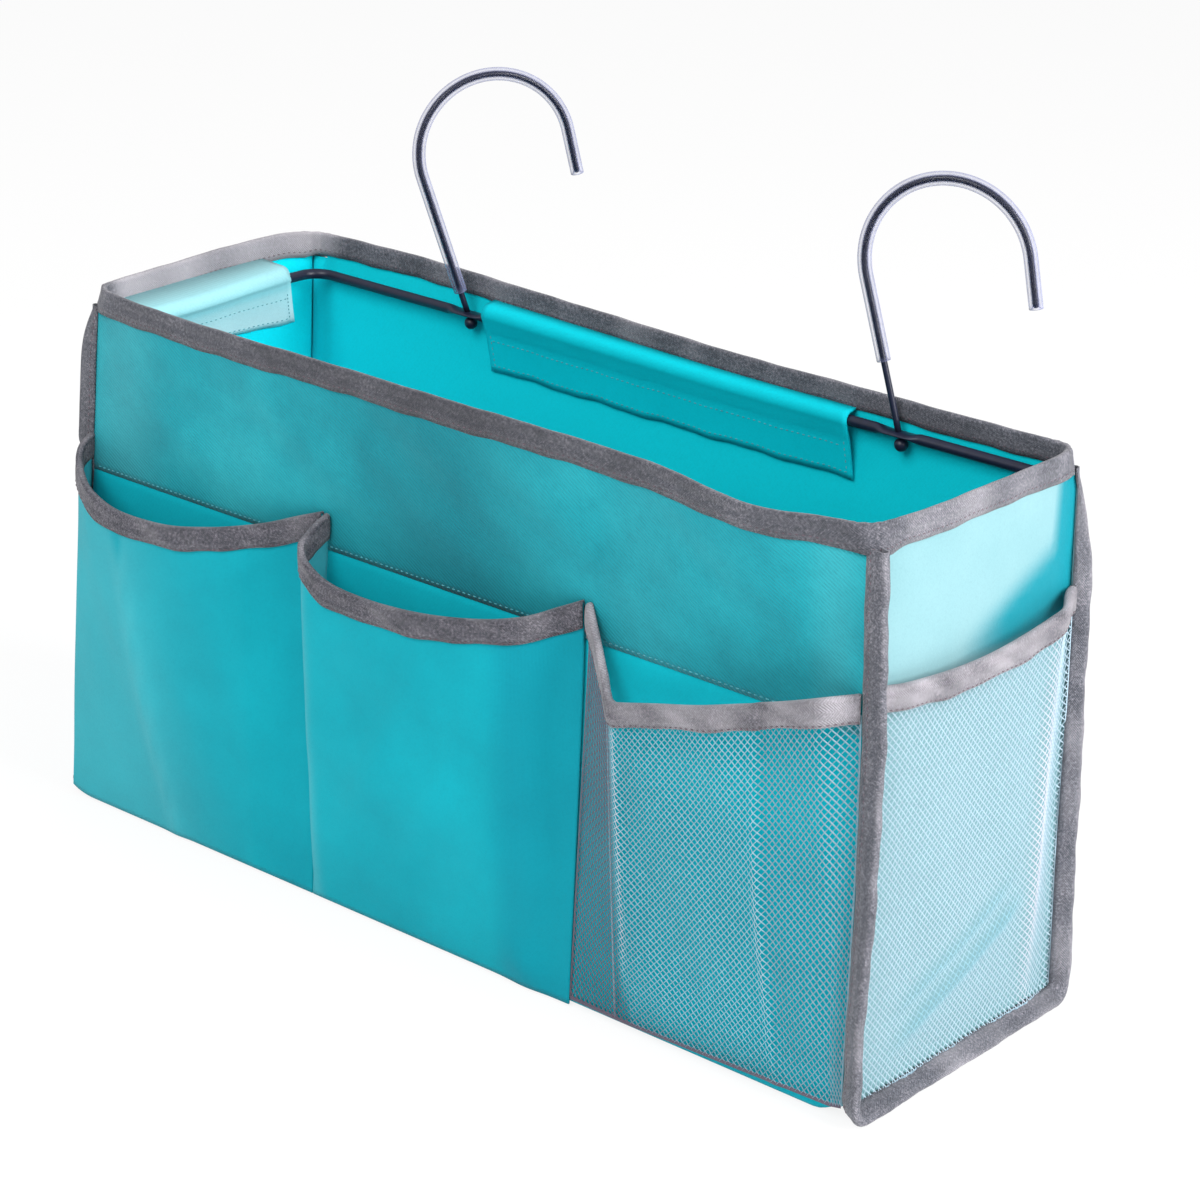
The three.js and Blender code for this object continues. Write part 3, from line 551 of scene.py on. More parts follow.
def yarn_material(name, colour, light, painted_light=None):
    """Twisted yarn, for netting and stitches; paler with painted highlights on lit folds, and duller with
    painted shade where the netting lies in shade and where it is doubled.
    """
    shader = Shader(bpy.data.materials.new(name))
    specks = shader.noise(700, 3.0)
    base = shader.ramp(specks, (0.32, colour), (0.68, light))
    # Painted light colour, and a dull painted shade colour
    shader.colour(shader.with_painted_shading(base, painted_light or light, (72, 62, 78)))
    shader.roughness(specks, 0.58, 0.82)
    shader.bump(shader.noise(2600, 1.0), 0.08)
    shader.set(Sheen_Weight=0.3, Sheen_Roughness=0.4)
    return shader.owner


def board_material():
    """Grey fibre board with a pressed, slightly hairy face."""
    shader = Shader(bpy.data.materials.new("board_fibre"))
    fibres = shader.noise(420, 5.0, roughness=0.7)
    clouds = shader.noise(30, 3.0)
    tone = shader.math("MULTIPLY_ADD", fibres, 0.6, shader.math("MULTIPLY", clouds, 0.4))
    shader.colour(shader.ramp(tone, (0.3, (62, 66, 69)), (0.7, (98, 102, 105))))
    shader.roughness(fibres, 0.75, 0.95)
    shader.bump(fibres, 0.25)
    return shader.owner


def wire_material():
    """Black lacquered steel wire with faint drawing marks."""
    shader = Shader(bpy.data.materials.new("lacquered_wire"))
    marks = shader.noise(500, 2.0)
    shader.colour(shader.ramp(marks, (0.3, (20, 24, 40)), (0.75, (26, 30, 50))))
    shader.roughness(marks, 0.34, 0.4)
    shader.bump(marks, 0.004)
    shader.set(Specular_IOR_Level=0.3)
    return shader.owner


def sleeve_material():
    """Clear vinyl tube: see-through where it faces out, milky and faintly lavender at its edges."""
    shader = Shader(bpy.data.materials.new("clear_vinyl"))
    skin = shader.noise(260, 2.0)
    shader.colour(shader.ramp(skin, (0.3, (120, 124, 160)), (0.7, (150, 154, 188))))
    shader.roughness(skin, 0.08, 0.16)
    shader.bump(skin, 0.004)
    edge = shader.add("LayerWeight")
    edge.inputs["Blend"].default_value = 0.5
    shader.link(shader.span(edge.outputs["Facing"], 0.0, 0.9, start=0.1), shader.surface.inputs["Alpha"])
    shader.set(IOR=1.46)
    return shader.owner


# Cloth colours that stand in for light: the first is painted light, the second painted shade
PAINTED_LIGHT_COLOUR = 112, 186, 194
PAINTED_SHADE_COLOUR = 0, 116, 134
twill = twill_material("twill_turquoise", (6, 118, 130), (16, 136, 148), (30, 152, 163))
# The third colour is painted light: the inside of the back wall is painted bright as if lit through the cloth
plain = cloth_material("cloth_turquoise", (0, 142, 158), (0, 156, 172), (0, 200, 214), PAINTED_SHADE_COLOUR)
pocket_cloth = cloth_material("cloth_pocket", (0, 138, 152), (4, 152, 166), PAINTED_LIGHT_COLOUR, PAINTED_SHADE_COLOUR)
# Lit copies of the turquoise cloth with painted light in their colours: the inside painted bright as if lit
# through the cloth, the right end and the left casing painted pale as if under the right lamp
inner = cloth_material("cloth_inside_painted_light", (0, 208, 224), (0, 216, 232), PAINTED_LIGHT_COLOUR, (0, 166, 180), sheen=0.0)
pale = cloth_material("cloth_side_painted_light", (110, 150, 156), (118, 156, 162), PAINTED_LIGHT_COLOUR, (0, 118, 132), sheen=0.1)
flap = cloth_material("cloth_flap_painted_light", (140, 210, 218), (154, 218, 226), (220, 246, 250), (134, 178, 184))
binding = tape_material("tape_grey", (58, 60, 66), (84, 86, 94), (132, 130, 138))
hem_tape = tape_material("tape_hem", (44, 45, 50), (72, 72, 80), (122, 118, 126))
# The netting's third colour is a painted highlight colour for lit folds and the lit side net
netting = yarn_material("netting_yarn", (98, 144, 158), (128, 172, 186), (206, 190, 200))
thread = yarn_material("thread_turquoise", (30, 128, 142), (64, 158, 170))
tape_thread = yarn_material("thread_grey", (48, 36, 44), (92, 72, 84))
board = board_material()
wire = wire_material()
vinyl = sleeve_material()


# Bound side seams

WALL_EDGE = HALF_DEPTH - FLANGE_DEPTH
WALL_CORNER = FOLD_RADIUS - FLANGE_DEPTH
WALL_LOW = BASE_SEAM_LIFT + FLANGE_DEPTH
RIM_NECK = HALF_LENGTH - CLOTH / 2 - RIM_CORNER_RADIUS
SIDE_RIM_NECK = HALF_DEPTH - CLOTH / 2 - RIM_CORNER_RADIUS


def fin_lean(side, face, z):
    """How far a side fin leans away from sideways, beside the front (face -1) or the back (1)."""
    if face > 0:
        return np.full_like(z, REAR_LEAN)
    if side > 0:
        top, foot = FRONT_RIGHT_LEANS
        return top + (foot - top) * ease((150 - z) / 120)
    return FRONT_LEFT_LEAN * ease((157 - z) / 20)


def fin_share(side, face, z):
    """How much of a side fin is left as it is cut down towards the rim."""
    if face > 0:
        return 1 - 0.75 * np.clip((z - 165) / 45, 0, 1) ** 2
    if side > 0:
        return 1 - 0.15 * np.clip((z - 195) / 15, 0, 1) ** 2
    return (1 - 0.6 * np.clip((z - 188) / 22, 0, 1) ** 2) * (0.5 + 0.5 * ease((z - 10) / 60))


def wall_stations(z, face, side):
    """The upright part of a side seam: rows of y, z, the outward direction's y and z, the fin's
    droop and its share."""
    return stack(face * HALF_DEPTH, z, face, 0.0, fin_lean(side, face, z), fin_share(side, face, z))


def seam_stations(top, spacing=3.0, lift=BASE_SEAM_LIFT, side=1):
    """The side seam from the front's top, under the end and up the back."""
    turn = np.linspace(0, math.pi / 2, 8)
    sine, cosine = np.sin(turn), np.cos(turn)
    rows = []
    for face in (-1, 1):
        upright = wall_stations(np.linspace(lift + FOLD_RADIUS, top, int(top / spacing))[1:], face, side)
        y = face * (HALF_DEPTH - FOLD_RADIUS + FOLD_RADIUS * sine)
        z = lift + FOLD_RADIUS - FOLD_RADIUS * cosine
        droop = FIN_DROOP * lift / BASE_SEAM_LIFT * cosine**2 + upright[0, 4] * sine**2
        quarter = stack(y, z, face * sine, -cosine, droop, 1 - (1 - upright[0, 5]) * sine**2)
        rows.append(np.concatenate([quarter, upright])[::face])
    front, rear = rows
    shares = np.linspace(0, 1, int(2 * (HALF_DEPTH - FOLD_RADIUS) / spacing))[1:-1, None]
    return np.concatenate([front, front[-1] + (rear[0] - front[-1]) * shares, rear])


def fin_points(stations, reach, depth, side=1):
    """Points of a bound seam on the upright box: reach is the way out along the fin, depth the
    way inwards through its layers."""
    y, z, out_y, out_z, droop, share = stations.T[..., None]
    reach = reach * share
    outward = np.sin(droop) * reach - np.cos(droop) * depth
    x = HALF_LENGTH + np.cos(droop) * reach + np.sin(droop) * depth
    return stack(side * x, y + out_y * outward, z + out_z * outward)


def flare_at(side, y, z):
    """How far the side cloth sweeps outwards into its seam; most at the upper rear edge."""
    rear = ease((y + 10) / 60) * ease((z - 40) / 80)
    front = ease((-y - 30) / 30)
    share = np.where(y > 0, fin_share(side, 1, z), fin_share(side, -1, z))
    wanted = 1.2 + 0.5 * rear if side > 0 else 0.5 + 2.0 * front
    return np.minimum(wanted, 0.75 * WING_REACH * share)


def wall_foot(y):
    """How far a place on an end wall's foot is round its corner, and its height."""
    over = np.clip(np.abs(y) - (HALF_DEPTH - FOLD_RADIUS), 0, WALL_CORNER)
    return over, WALL_LOW + WALL_CORNER - np.sqrt(np.maximum(WALL_CORNER**2 - over**2, 0))


def side_sweep(side, y, z):
    """How the side cloth leaves its flat end wall to meet the leaning fins, in x, y and z."""
    over, bottom = wall_foot(y)
    flare = flare_at(side, y, z)
    from_side = np.maximum(WALL_EDGE - np.abs(y), 0)
    from_base = np.maximum(z - bottom, 0)
    turn = np.arcsin(over / WALL_CORNER)
    turn = turn + (math.pi / 2 - turn) * ease(from_base / (from_base + from_side + 1e-6))
    lean = np.where(y > 0, fin_lean(side, 1, z), fin_lean(side, -1, z))
    droop = FIN_DROOP * np.cos(turn) ** 2 + lean * np.sin(turn) ** 2
    inset = np.minimum(from_side, from_base)
    sweep = np.exp(-inset / (1.6 + 0.5 * flare)) * np.where(z < WING_TOP, 1, ease((PANEL_TOP - z) / 8))
    outward = sweep * (np.sin(droop) * flare + (1 - np.cos(droop)) * FLANGE_DEPTH)
    sideways = sweep * (CLOTH / 2 + np.cos(droop) * flare + np.sin(droop) * FLANGE_DEPTH)
    return sideways, np.sign(y) * np.sin(turn) * outward, -np.cos(turn) * outward


# Cloth pieces


def front_upper_cloth():
    """The teased twill above the lap: a full, slightly rippled panel with ends bound in the fins."""
    columns = np.concatenate([[-HALF_LENGTH], np.linspace(-RIM_NECK, RIM_NECK, 96), [HALF_LENGTH]])
    below = np.linspace(SEAM_HEIGHT - SEAM_LAP / 2, WING_TOP, 20)
    rows = np.concatenate([below, np.linspace(WING_TOP, PANEL_TOP, 4)[1:]])
    x, z = np.meshgrid(columns, rows)
    middle = np.clip(1 - np.abs(x / HALF_LENGTH) ** 4, 0, 1)
    middle = middle * ease((z - 150) / 25) * ease((PANEL_TOP - z) / 25)
    slow = wave(x, (170, 0.9, 0.6), (67, 0.5, 2.0)) + wave(x + 1.7 * z, (120, 0.6, 1.0), (46, 0.3, 0.4))
    y = -HALF_DEPTH + CLOTH / 2 - middle * (1.1 + slow)
    reaches = WING_REACH * np.array([0.33, 0.67, 1.0])
    left, right = (fin_points(wall_stations(rows, -1, side), reaches, CLOTH / 2, side) for side in (-1, 1))
    places = np.concatenate([-HALF_LENGTH - reaches[::-1], columns, HALF_LENGTH + reaches])
    # Painted light near the twill's ends and at two patches, painted shade across its middle, a little deeper
    # overall
    painted_shading_and_tone = sum(strength * hump(places - place, spread) for place, spread, strength in TWILL_PAINTED_SHADING) - 0.06

    def keep(i, j):
        return rows[i] < WING_TOP - 0.01 or 4 <= j < len(places) - 5

    make_piece(
        "front_upper_cloth", draw_in(np.concatenate([left[:, ::-1], stack(x, y, z), right], 1)),
        twill, "twill", ["front_upper_panel"], keep=keep,
        uv=stack(places, rows[:, None]), thick=CLOTH, painted_shading_and_tone=np.tile(painted_shading_and_tone, (len(rows), 1)),
    )


def strip_columns(side):
    """Half of the body's strip, from its middle out to the edge of its fin."""
    foot = HALF_LENGTH - BASE_SEAM_RUN
    inside = np.concatenate([np.linspace(0, foot, 32), np.linspace(foot, HALF_LENGTH, 7)[1:]])
    stations = seam_stations(WING_TOP, 6.0, side=side)
    low = fin_points(seam_stations(WING_TOP, 6.0, lift=0.0, side=side), 0, CLOTH / 2, side)
    high = fin_points(stations, 0, CLOTH / 2, side)
    share = np.clip((inside - foot) / BASE_SEAM_RUN, 0, 1)[:, None]
    wall = low + (high - low) * (1 - np.cos(math.pi * share)) / 2
    wall[..., 0] = side * inside
    fin = fin_points(stations, np.array([2.5, 5.0, WING_REACH]), CLOTH / 2, side)
    return np.concatenate([wall, fin], 1)


def body_strip():
    """One strip of cloth: up the lower front, under the base and up the back, with its ends
    lifted to the side seams and bound there."""
    grid = np.concatenate([strip_columns(-1)[:, :0:-1], strip_columns(1)], 1)
    middle = grid.shape[1] // 2
    front_top = SEAM_HEIGHT + SEAM_LAP / 2
    foot = SEAM_HEIGHT - SEAM_LAP / 2 - LAYER_GAP - LAP_JOGGLE
    grid = grid[(grid[:, middle, 1] >= 0) | (grid[:, middle, 2] <= front_top)]
    step = (grid[..., 1] < -HALF_DEPTH + 2) * ease((grid[..., 2] - foot) / LAP_JOGGLE)
    grid[..., 1] += step * (CLOTH + LAYER_GAP)
    grid[0, :, 2] = front_top
    grid = np.concatenate([grid, grid[-1:]])
    grid[-1, :, 2] = PANEL_TOP
    x, y, z = np.moveaxis(grid, -1, 0)
    rear = (y > HALF_DEPTH - 3) & (np.abs(x) < HALF_LENGTH - 6)
    slack = np.clip(1 - np.abs(x / HALF_LENGTH) ** 4, 0, 1) * np.sin(np.clip(z / 175, 0, 1) * math.pi)
    y += rear * slack * (1.4 + wave(x + 0.6 * z, (150, 0.9, 0.2), (61, 0.4, 1.0)))
    # Painted light on the inside of the back wall, as if lit through the cloth, with a painted soft shade
    # line near its left end, and painted light on the wall behind the pockets, which lies in their shadow
    painted_light_behind_pockets = ease((-y - 40) / 20) * ease((z - 90) / 20)
    painted_shading_and_tone = ease((y - 40) / 20) * (1 - 0.25 * hump(x + HALF_LENGTH - 8, 3.0)) + 0.2 * painted_light_behind_pockets

    def keep(i, j):
        return i < len(grid) - 2 or np.abs(x[i, j : j + 2]).max() < RIM_NECK

    make_piece(
        "body_strip", draw_in(grid), plain, "cloth", ["front_lower_panel", "bottom_panel", "back_panel"],
        keep=keep, uv=stack(x, lengths_along(grid[:, middle])[:, None]), thick=CLOTH, painted_shading_and_tone=painted_shading_and_tone,
    )


def side_cloth(side, material, name, node):
    """An end wall whose edges sweep outwards into the bound seams."""
    near = np.array([0, 0.6, 1.3, 2.2, 3.4, 5.0, 7.0, 10.0, 14.0])
    half = np.concatenate([WALL_EDGE - near, np.linspace(WALL_EDGE - 14, 14 - WALL_EDGE, 26)[1:-1]])
    columns = np.concatenate([-half, WALL_EDGE - near[::-1]])
    tops = [PANEL_TOP - 5 - WALL_LOW, PANEL_TOP - WALL_LOW]
    rises = np.concatenate([near, np.linspace(14, WING_TOP - WALL_LOW, 44)[1:], tops])
    y, rise = np.meshgrid(columns, rises)
    _, bottom = wall_foot(y)
    z = bottom + rise * (PANEL_TOP - bottom) / (PANEL_TOP - WALL_LOW)
    sideways, backwards, upwards = side_sweep(side, y, z)
    middle = np.clip(1 - (y / WALL_EDGE) ** 4, 0, 1) * np.sin(np.clip((z - 8) / 205, 0, 1) * math.pi)
    slack = middle * (wave(y + 0.4 * z, (95, 0.6, 0.4), (43, 0.3, 1.4)) - 0.6)
    wall = draw_in(stack(side * (HALF_LENGTH - CLOTH / 2 + slack + sideways), y + backwards, z + upwards))
    stations = seam_stations(WING_TOP, side=side)
    start = flare_at(side, stations[:, :1], stations[:, 1:2]) / stations[:, 5:]
    reaches = start + (WING_REACH - start) * np.linspace(0, 1, 4)
    flange = draw_in(fin_points(stations, reaches, FLANGE_DEPTH, side))
    top = int(np.argmax(rises >= WING_TOP - WALL_LOW - 0.01))

    def keep(i, j):
        return i < top or np.abs(columns[j : j + 2]).max() < SIDE_RIM_NECK

    # Painted shade on the right end: a deep strip along the upper rear edge and a slanting wedge above the
    # side pocket's hem, where its mouth lies in shade
    slanting = ease((y + 14) / 40) * ease((z - 150) / 6) * ease((171 + 0.42 * y - z) / 15)
    painted_shade = np.maximum(ease((y - 48) / 8) * ease((z - 140) / 30), slanting) * (side > 0)
    make_piece(
        name, np.concatenate([wall.reshape(-1, 3), flange.reshape(-1, 3)]), material, "cloth", [node],
        grid_faces(*y.shape, keep=keep) + shifted(grid_faces(len(stations), 4), y.size),
        uv=np.concatenate([stack(y, z).reshape(-1, 2), flange[..., 1:].reshape(-1, 2)]), thick=CLOTH,
        painted_shading_and_tone=np.concatenate([-painted_shade.ravel(), np.zeros(flange[..., 0].size)]),
    )


def seam_tape(side, name, node):
    """Tape folded over a side seam's raw edges, puckered where it turns the corners."""
    stations = seam_stations(WING_TOP + 2.5, 2.0, side=side)
    at = lengths_along(stations[:, :2])
    y, z, share = stations[:, :1], stations[:, 1:2], stations[:, 5:]
    nose = (TAPE_INNER_DEPTH - TAPE_OUTER_DEPTH) / 2
    centre = (TAPE_INNER_DEPTH + TAPE_OUTER_DEPTH) / 2
    end = np.maximum(SEAM_FIN * share - TAPE / 2 - nose, 0.8)
    angles = np.linspace(math.pi / 2, -math.pi / 2, 9)
    outer_reach = LAYER_GAP + (end - LAYER_GAP) * np.linspace(0, 1, 5)[:-1]
    inner_start = np.minimum(flare_at(side, y, z) + 0.2, end - 0.3)
    inner_reach = end + (inner_start - end) * np.linspace(0, 1, 4)[1:]
    reach = np.concatenate([outer_reach, end + nose * np.cos(angles), inner_reach], 1)
    pinch = 0.25 * np.sin(np.linspace(0, math.pi, 4))
    round_nose = centre - nose * np.sin(angles)
    depth = np.concatenate([TAPE_OUTER_DEPTH - pinch, round_nose, TAPE_INNER_DEPTH + pinch[:3]])
    ripple = wave(at, (31, 0.22, 0.3), (13.7, 0.14, 1.1), (71, 0.25, 2.0))[:, None]
    pucker = ease((22 - z) / 14) * wave(at, (5.2, 0.22, 0.0))[:, None]
    reach = reach + ripple * 0.8 * (reach / SEAM_FIN)
    grid = draw_in(fin_points(stations, reach / share, depth + (ripple + pucker) * 0.6, side))
    grid[..., 2] = np.maximum(grid[..., 2], TAPE)
    # A painted highlight along the tape's fold, random tone along it, and painted light towards the rear of
    # the right seam, which faces the right lamp, with painted shade on its front and on the left seam
    painted_shading_and_tone = 0.12 * hump(np.arange(grid.shape[1]) - 7, 2.0)
    painted_shading_and_tone = painted_shading_and_tone + 0.08 * wave(at, (83, 0.6, 0.4), (29, 0.5, 1.0))[:, None]
    painted_shading_and_tone = painted_shading_and_tone + (0.12 * ease((y + 40) / 30) - 0.08 if side > 0 else -0.1)
    uv = stack(at[:, None], lengths_along(grid[len(grid) // 4]))
    make_piece(name, grid, binding, "tape", [node], uv=uv, thick=TAPE, painted_shading_and_tone=painted_shading_and_tone)
    return grid


def rim_line(spacing=2.5):
    """The rim's middle line on the upright box and back to its start, with the outward direction
    at each point."""
    corners = [(1, 1), (-1, 1), (-1, -1), (1, -1)]
    straight = np.array([RIM_NECK, SIDE_RIM_NECK])
    places = []
    outs = []
    for k in range(4):
        angle = (k + np.arange(9) / 8) * math.pi / 2
        out = stack(np.cos(angle), np.sin(angle))
        bend = corners[k] * straight + out * RIM_CORNER_RADIUS
        run = corners[(k + 1) % 4] * straight + out[-1] * RIM_CORNER_RADIUS - bend[-1]
        count = int(np.linalg.norm(run) / spacing)
        places += [bend, bend[-1] + run * np.linspace(0, 1, count + 1)[1:-1, None]]
        outs += [out, np.repeat(out[-1:], count - 1, 0)]
    return [np.concatenate([*parts, parts[0][:1]]) for parts in (places, outs)]


def rim_tape():
    """Tape folded over the rim all the way round: full along the fold, gathered at the corners
    and spread there over the tops of the fins."""
    places, outs = rim_line()
    at = lengths_along(places)
    total = at[-1]
    x, y = places.T[..., None]
    out_x, out_y = outs.T[..., None]
    fold = np.linspace(math.pi, 0, 9)
    legs = np.array([0.0, 0.25, 0.5, 0.75])
    low = BODY_HEIGHT - TAPE_FOLD
    crown = BODY_HEIGHT - TAPE / 2 - HEM_HALF
    swell = 0.3 * np.sin(legs / 0.75 * math.pi * 0.9)
    offset = np.concatenate([-(HEM_HALF + swell), HEM_HALF * np.cos(fold), (HEM_HALF + swell)[::-1]])
    inner_low = low + REAR_TAPE_LIFT * ease(out_y)
    over = np.concatenate([crown + HEM_HALF * np.sin(fold), low + (crown - low) * legs[::-1]])
    height = np.concatenate([inner_low + (crown - inner_low) * legs, np.tile(over, (len(places), 1))], 1)
    corner = hump(np.hypot(np.abs(x) - HALF_LENGTH, np.abs(y) - HALF_DEPTH), 10)
    turns = total / round(total / 37)
    sway = wave(at, (turns, 0.25, 0.4), (turns * 3, 0.3, 1.9), (turns / 2, 0.14, 0.8))[:, None]
    gather = corner * wave(at, (total / round(total / 4.4), 0.3, 0.0))[:, None]
    offset = offset + np.sign(offset) * (gather + 0.25 * corner)
    foot = 1 - (height - low) / (BODY_HEIGHT - low)
    height = height + (sway + 0.8 * gather) * (0.35 + 0.65 * foot)
    spread = np.clip(foot, 0, 1) ** 1.5 * (offset > HEM_HALF * 0.9) * sum(
        size * hump(np.hypot(x - side_x * HALF_LENGTH, y - side_y * HALF_DEPTH), 9)
        for side_x, side_y, size in RIM_FLARES
    )
    across = x + out_x * offset + np.sign(x) * spread
    grid = draw_in(stack(across, y + out_y * offset + np.sign(y) * spread * 0.2, height))
    grid[-1] = grid[0]
    east = x / HALF_LENGTH
    north = y / HALF_DEPTH
    # Painted light on the tape at the left and right ends, which face the right lamp, painted shade along the
    # front, deepest near its middle, and along the right of the rear, random tone all round, and a painted
    # highlight along the crown of the fold
    painted_shading_and_tone = 0.34 * ease((-east - 0.9) / 0.08) + 0.06 * ease((east - 0.95) / 0.05)
    painted_shading_and_tone = painted_shading_and_tone - (0.3 * hump(x + 20, 90) + 0.24) * ease(-north * 8 - 6)
    painted_shading_and_tone = painted_shading_and_tone - 0.1 * ease(north * 8 - 6) * ease((x - 20) / 120)
    painted_shading_and_tone = painted_shading_and_tone + 0.1 * wave(at, (total / 11, 0.6, 0.2), (total / 29, 0.5, 1.2))[:, None]
    painted_shading_and_tone = painted_shading_and_tone + 0.08 * hump(np.arange(grid.shape[1]) - 8, 1.6)
    uv = stack(at[:, None], lengths_along(grid[200]))
    make_piece("rim_tape", grid, binding, "tape", ["rim_binding"], uv=uv, thick=TAPE, painted_shading_and_tone=painted_shading_and_tone)
    return grid


# Pockets


def curve_through(points, count):
    """Evenly spaced points on a smooth curve through the given ones."""
    points = np.asarray(points, float)
    ends = [2 * points[0] - points[1], *points, 2 * points[-1] - points[-2]]
    line = []
    for near in zip(ends, ends[1:], ends[2:], ends[3:]):
        knots = np.cumsum([0, *(max(np.linalg.norm(b - a), 1e-6) ** 0.5 for a, b in zip(near, near[1:]))])
        t = np.linspace(knots[1], knots[2], 24, endpoint=False)[:, None]
        for spans in ([(0, 1), (1, 2), (2, 3)], [(0, 2), (1, 3)], [(1, 2)]):
            near = [
                (a * (knots[j] - t) + b * (t - knots[i])) / (knots[j] - knots[i])
                for a, b, (i, j) in zip(near, near[1:], spans)
            ]
        line.append(near[0])
    return resample(np.concatenate([*line, points[-1:]]), count)


def front_wall(across, forward, z):
    return stack(across, -HALF_DEPTH - forward, z)


def right_wall(across, forward, z):
    sideways, backwards, upwards = side_sweep(1, across, z)
    return stack(HALF_LENGTH + forward + sideways, across + backwards, z + upwards)


def pocket_sheet(lines, levels, wall, shape=None):
    """The pocket's cloth between its foot and its hem, as a grid of points on the caddy, and its
    painted shading there. The lines' columns are across, forward and height for the hem, the same for
    the foot, and the fullness."""
    share = levels[:, None]
    hem, foot, fullness = lines[:, :3], lines[:, 3:6], lines[:, 6]
    across, forward, z = np.moveaxis(foot + (hem - foot) * share[..., None], -1, 0)
    forward = forward + POCKET_BELLY * np.sin(share * math.pi) * fullness
    painted_shading_and_tone = 0 * z
    if shape is not None:
        sideways, forwards, painted_shading_and_tone = shape(across, share, fullness)
        across = across + sideways
        forward = forward + forwards
    forward = np.where(across < -HALF_LENGTH - 0.5, forward, np.maximum(forward, FOOT_GAP))
    return draw_in(wall(across, forward, z)), painted_shading_and_tone


def cloth_pocket(name, left, right, shares, shape, corner=0.0):
    """A cloth pocket sewn down at both ends and at its foot, with its bound hem."""
    across, depth, sag = curve_through(shares, 121).T
    hem = left + (right - left) * across, GUSSET_GAP + POCKET_DEPTH * depth, HEM_LINE - POCKET_SAG * sag
    from_left = (right - left) * np.clip(across, 0, 1)
    foot = left + from_left, FOOT_GAP, POCKET_FOOT + corner * np.clip(1 - from_left / 9, 0, 1) ** 2
    lines = stack(*hem, *foot, np.maximum(depth, 0))
    levels = np.linspace(0, 1, 61)
    grid, painted_shading_and_tone = pocket_sheet(lines, levels, front_wall, shape)
    uv = stack(lengths_along(lines[:, :3]), levels[:, None] * HEM_HEIGHT)
    make_piece(f"{name}_cloth", grid, pocket_cloth, "cloth", [name], uv=uv, thick=CLOTH, painted_shading_and_tone=painted_shading_and_tone)
    hem_strip(f"{name}_hem_tape", f"{name}_hem", lines, front_wall, (0, -1, 0), shape)


def hem_strip(name, node, lines, wall, facing, shape=None, painted_shading_and_tone=0.0):
    """Tape folded over a pocket's top edge, a little wavy where the hem dips."""
    lines = resample(lines, 120)
    at = lengths_along(lines[:, :3])
    drops = np.array([HEM_FOLD, 6.5, 4.4, 2.2, 0.7])
    levels = 1 - drops / np.mean(lines[:, 2] - lines[:, 5])
    sheet, _ = pocket_sheet(lines, np.append(levels, 1.0), wall, shape)
    normal = normals_of(sheet)
    normal = normal * np.sign(np.median(normal[0] @ facing))
    ripple = wave(at, (17, 0.12, 0.4), (41, 0.2, 1.2), (7.3, 0.06, 0.2))[:, None]
    half = HEM_HALF + np.array([0.05, 0.3, 0.35, 0.3, 0.1])[:, None, None]
    front = sheet[:-1] + normal[:-1] * (half + ripple)
    front[..., 2] += wave(at, (23, 0.25, 0.7), (52, 0.3, 0.1)) * (drops / drops[0])[:, None]
    back = sheet[:-1] - normal[:-1] * (half - ripple)
    turn = np.linspace(0, math.pi, 7)[:, None, None]
    rise = np.array([0, 0, 1]) * (0.6 * np.sin(turn) + 0.1)
    crown = sheet[-1] + normal[-1] * HEM_HALF * 1.1 * np.cos(turn) + rise
    grid = np.concatenate([front, crown, back[::-1]])
    across = lengths_along(grid[:, 60])[:, None]
    streaks = wave(at, (61, 0.5, 0.2), (23, 0.4, 1.3))
    streaks = streaks + wave(at + 2.2 * across, (19, 0.3, 0.4), (13.3, 0.2, 1.0))
    # Painted light set by the caller, random streaks of tone along the tape, and a painted highlight along
    # the top of its fold
    with_painted_shading = painted_shading_and_tone + (0.08 + 0.25 * painted_shading_and_tone) * streaks + 0.1 * hump(np.arange(len(grid)) - 8, 1.5)[:, None]
    make_piece(name, grid, hem_tape, "tape", [node], uv=stack(at, across), thick=TAPE, painted_shading_and_tone=with_painted_shading)
    path = grid[1] * 0.35 + grid[0] * 0.65
    stitch_line(f"{name}_stitches", path, normal[0], tape_thread, TAPE * 0.6, "tape")


def folded_lines(folds, dip):
    """The lines of a netting pocket with two soft folds, given as hem and foot points."""
    lines = []
    for k, (a, b) in enumerate(zip(folds, folds[1:])):
        count = max(int(math.dist(a[:2], b[:2]) / 1.5), 3)
        share = np.linspace(0, 1, count, endpoint=k == 2)[:, None]
        line = a + (b - a) * share
        line[:, 2:3] -= dip * np.sin(share * math.pi) * (k == 1)
        lines.append(line)
    lines = np.concatenate(lines)
    for _ in range(3):
        lines[1:-1] = (lines[:-2] + 2 * lines[1:-1] + lines[2:]) / 4
    return np.pad(lines, ((0, 0), (0, 1)))


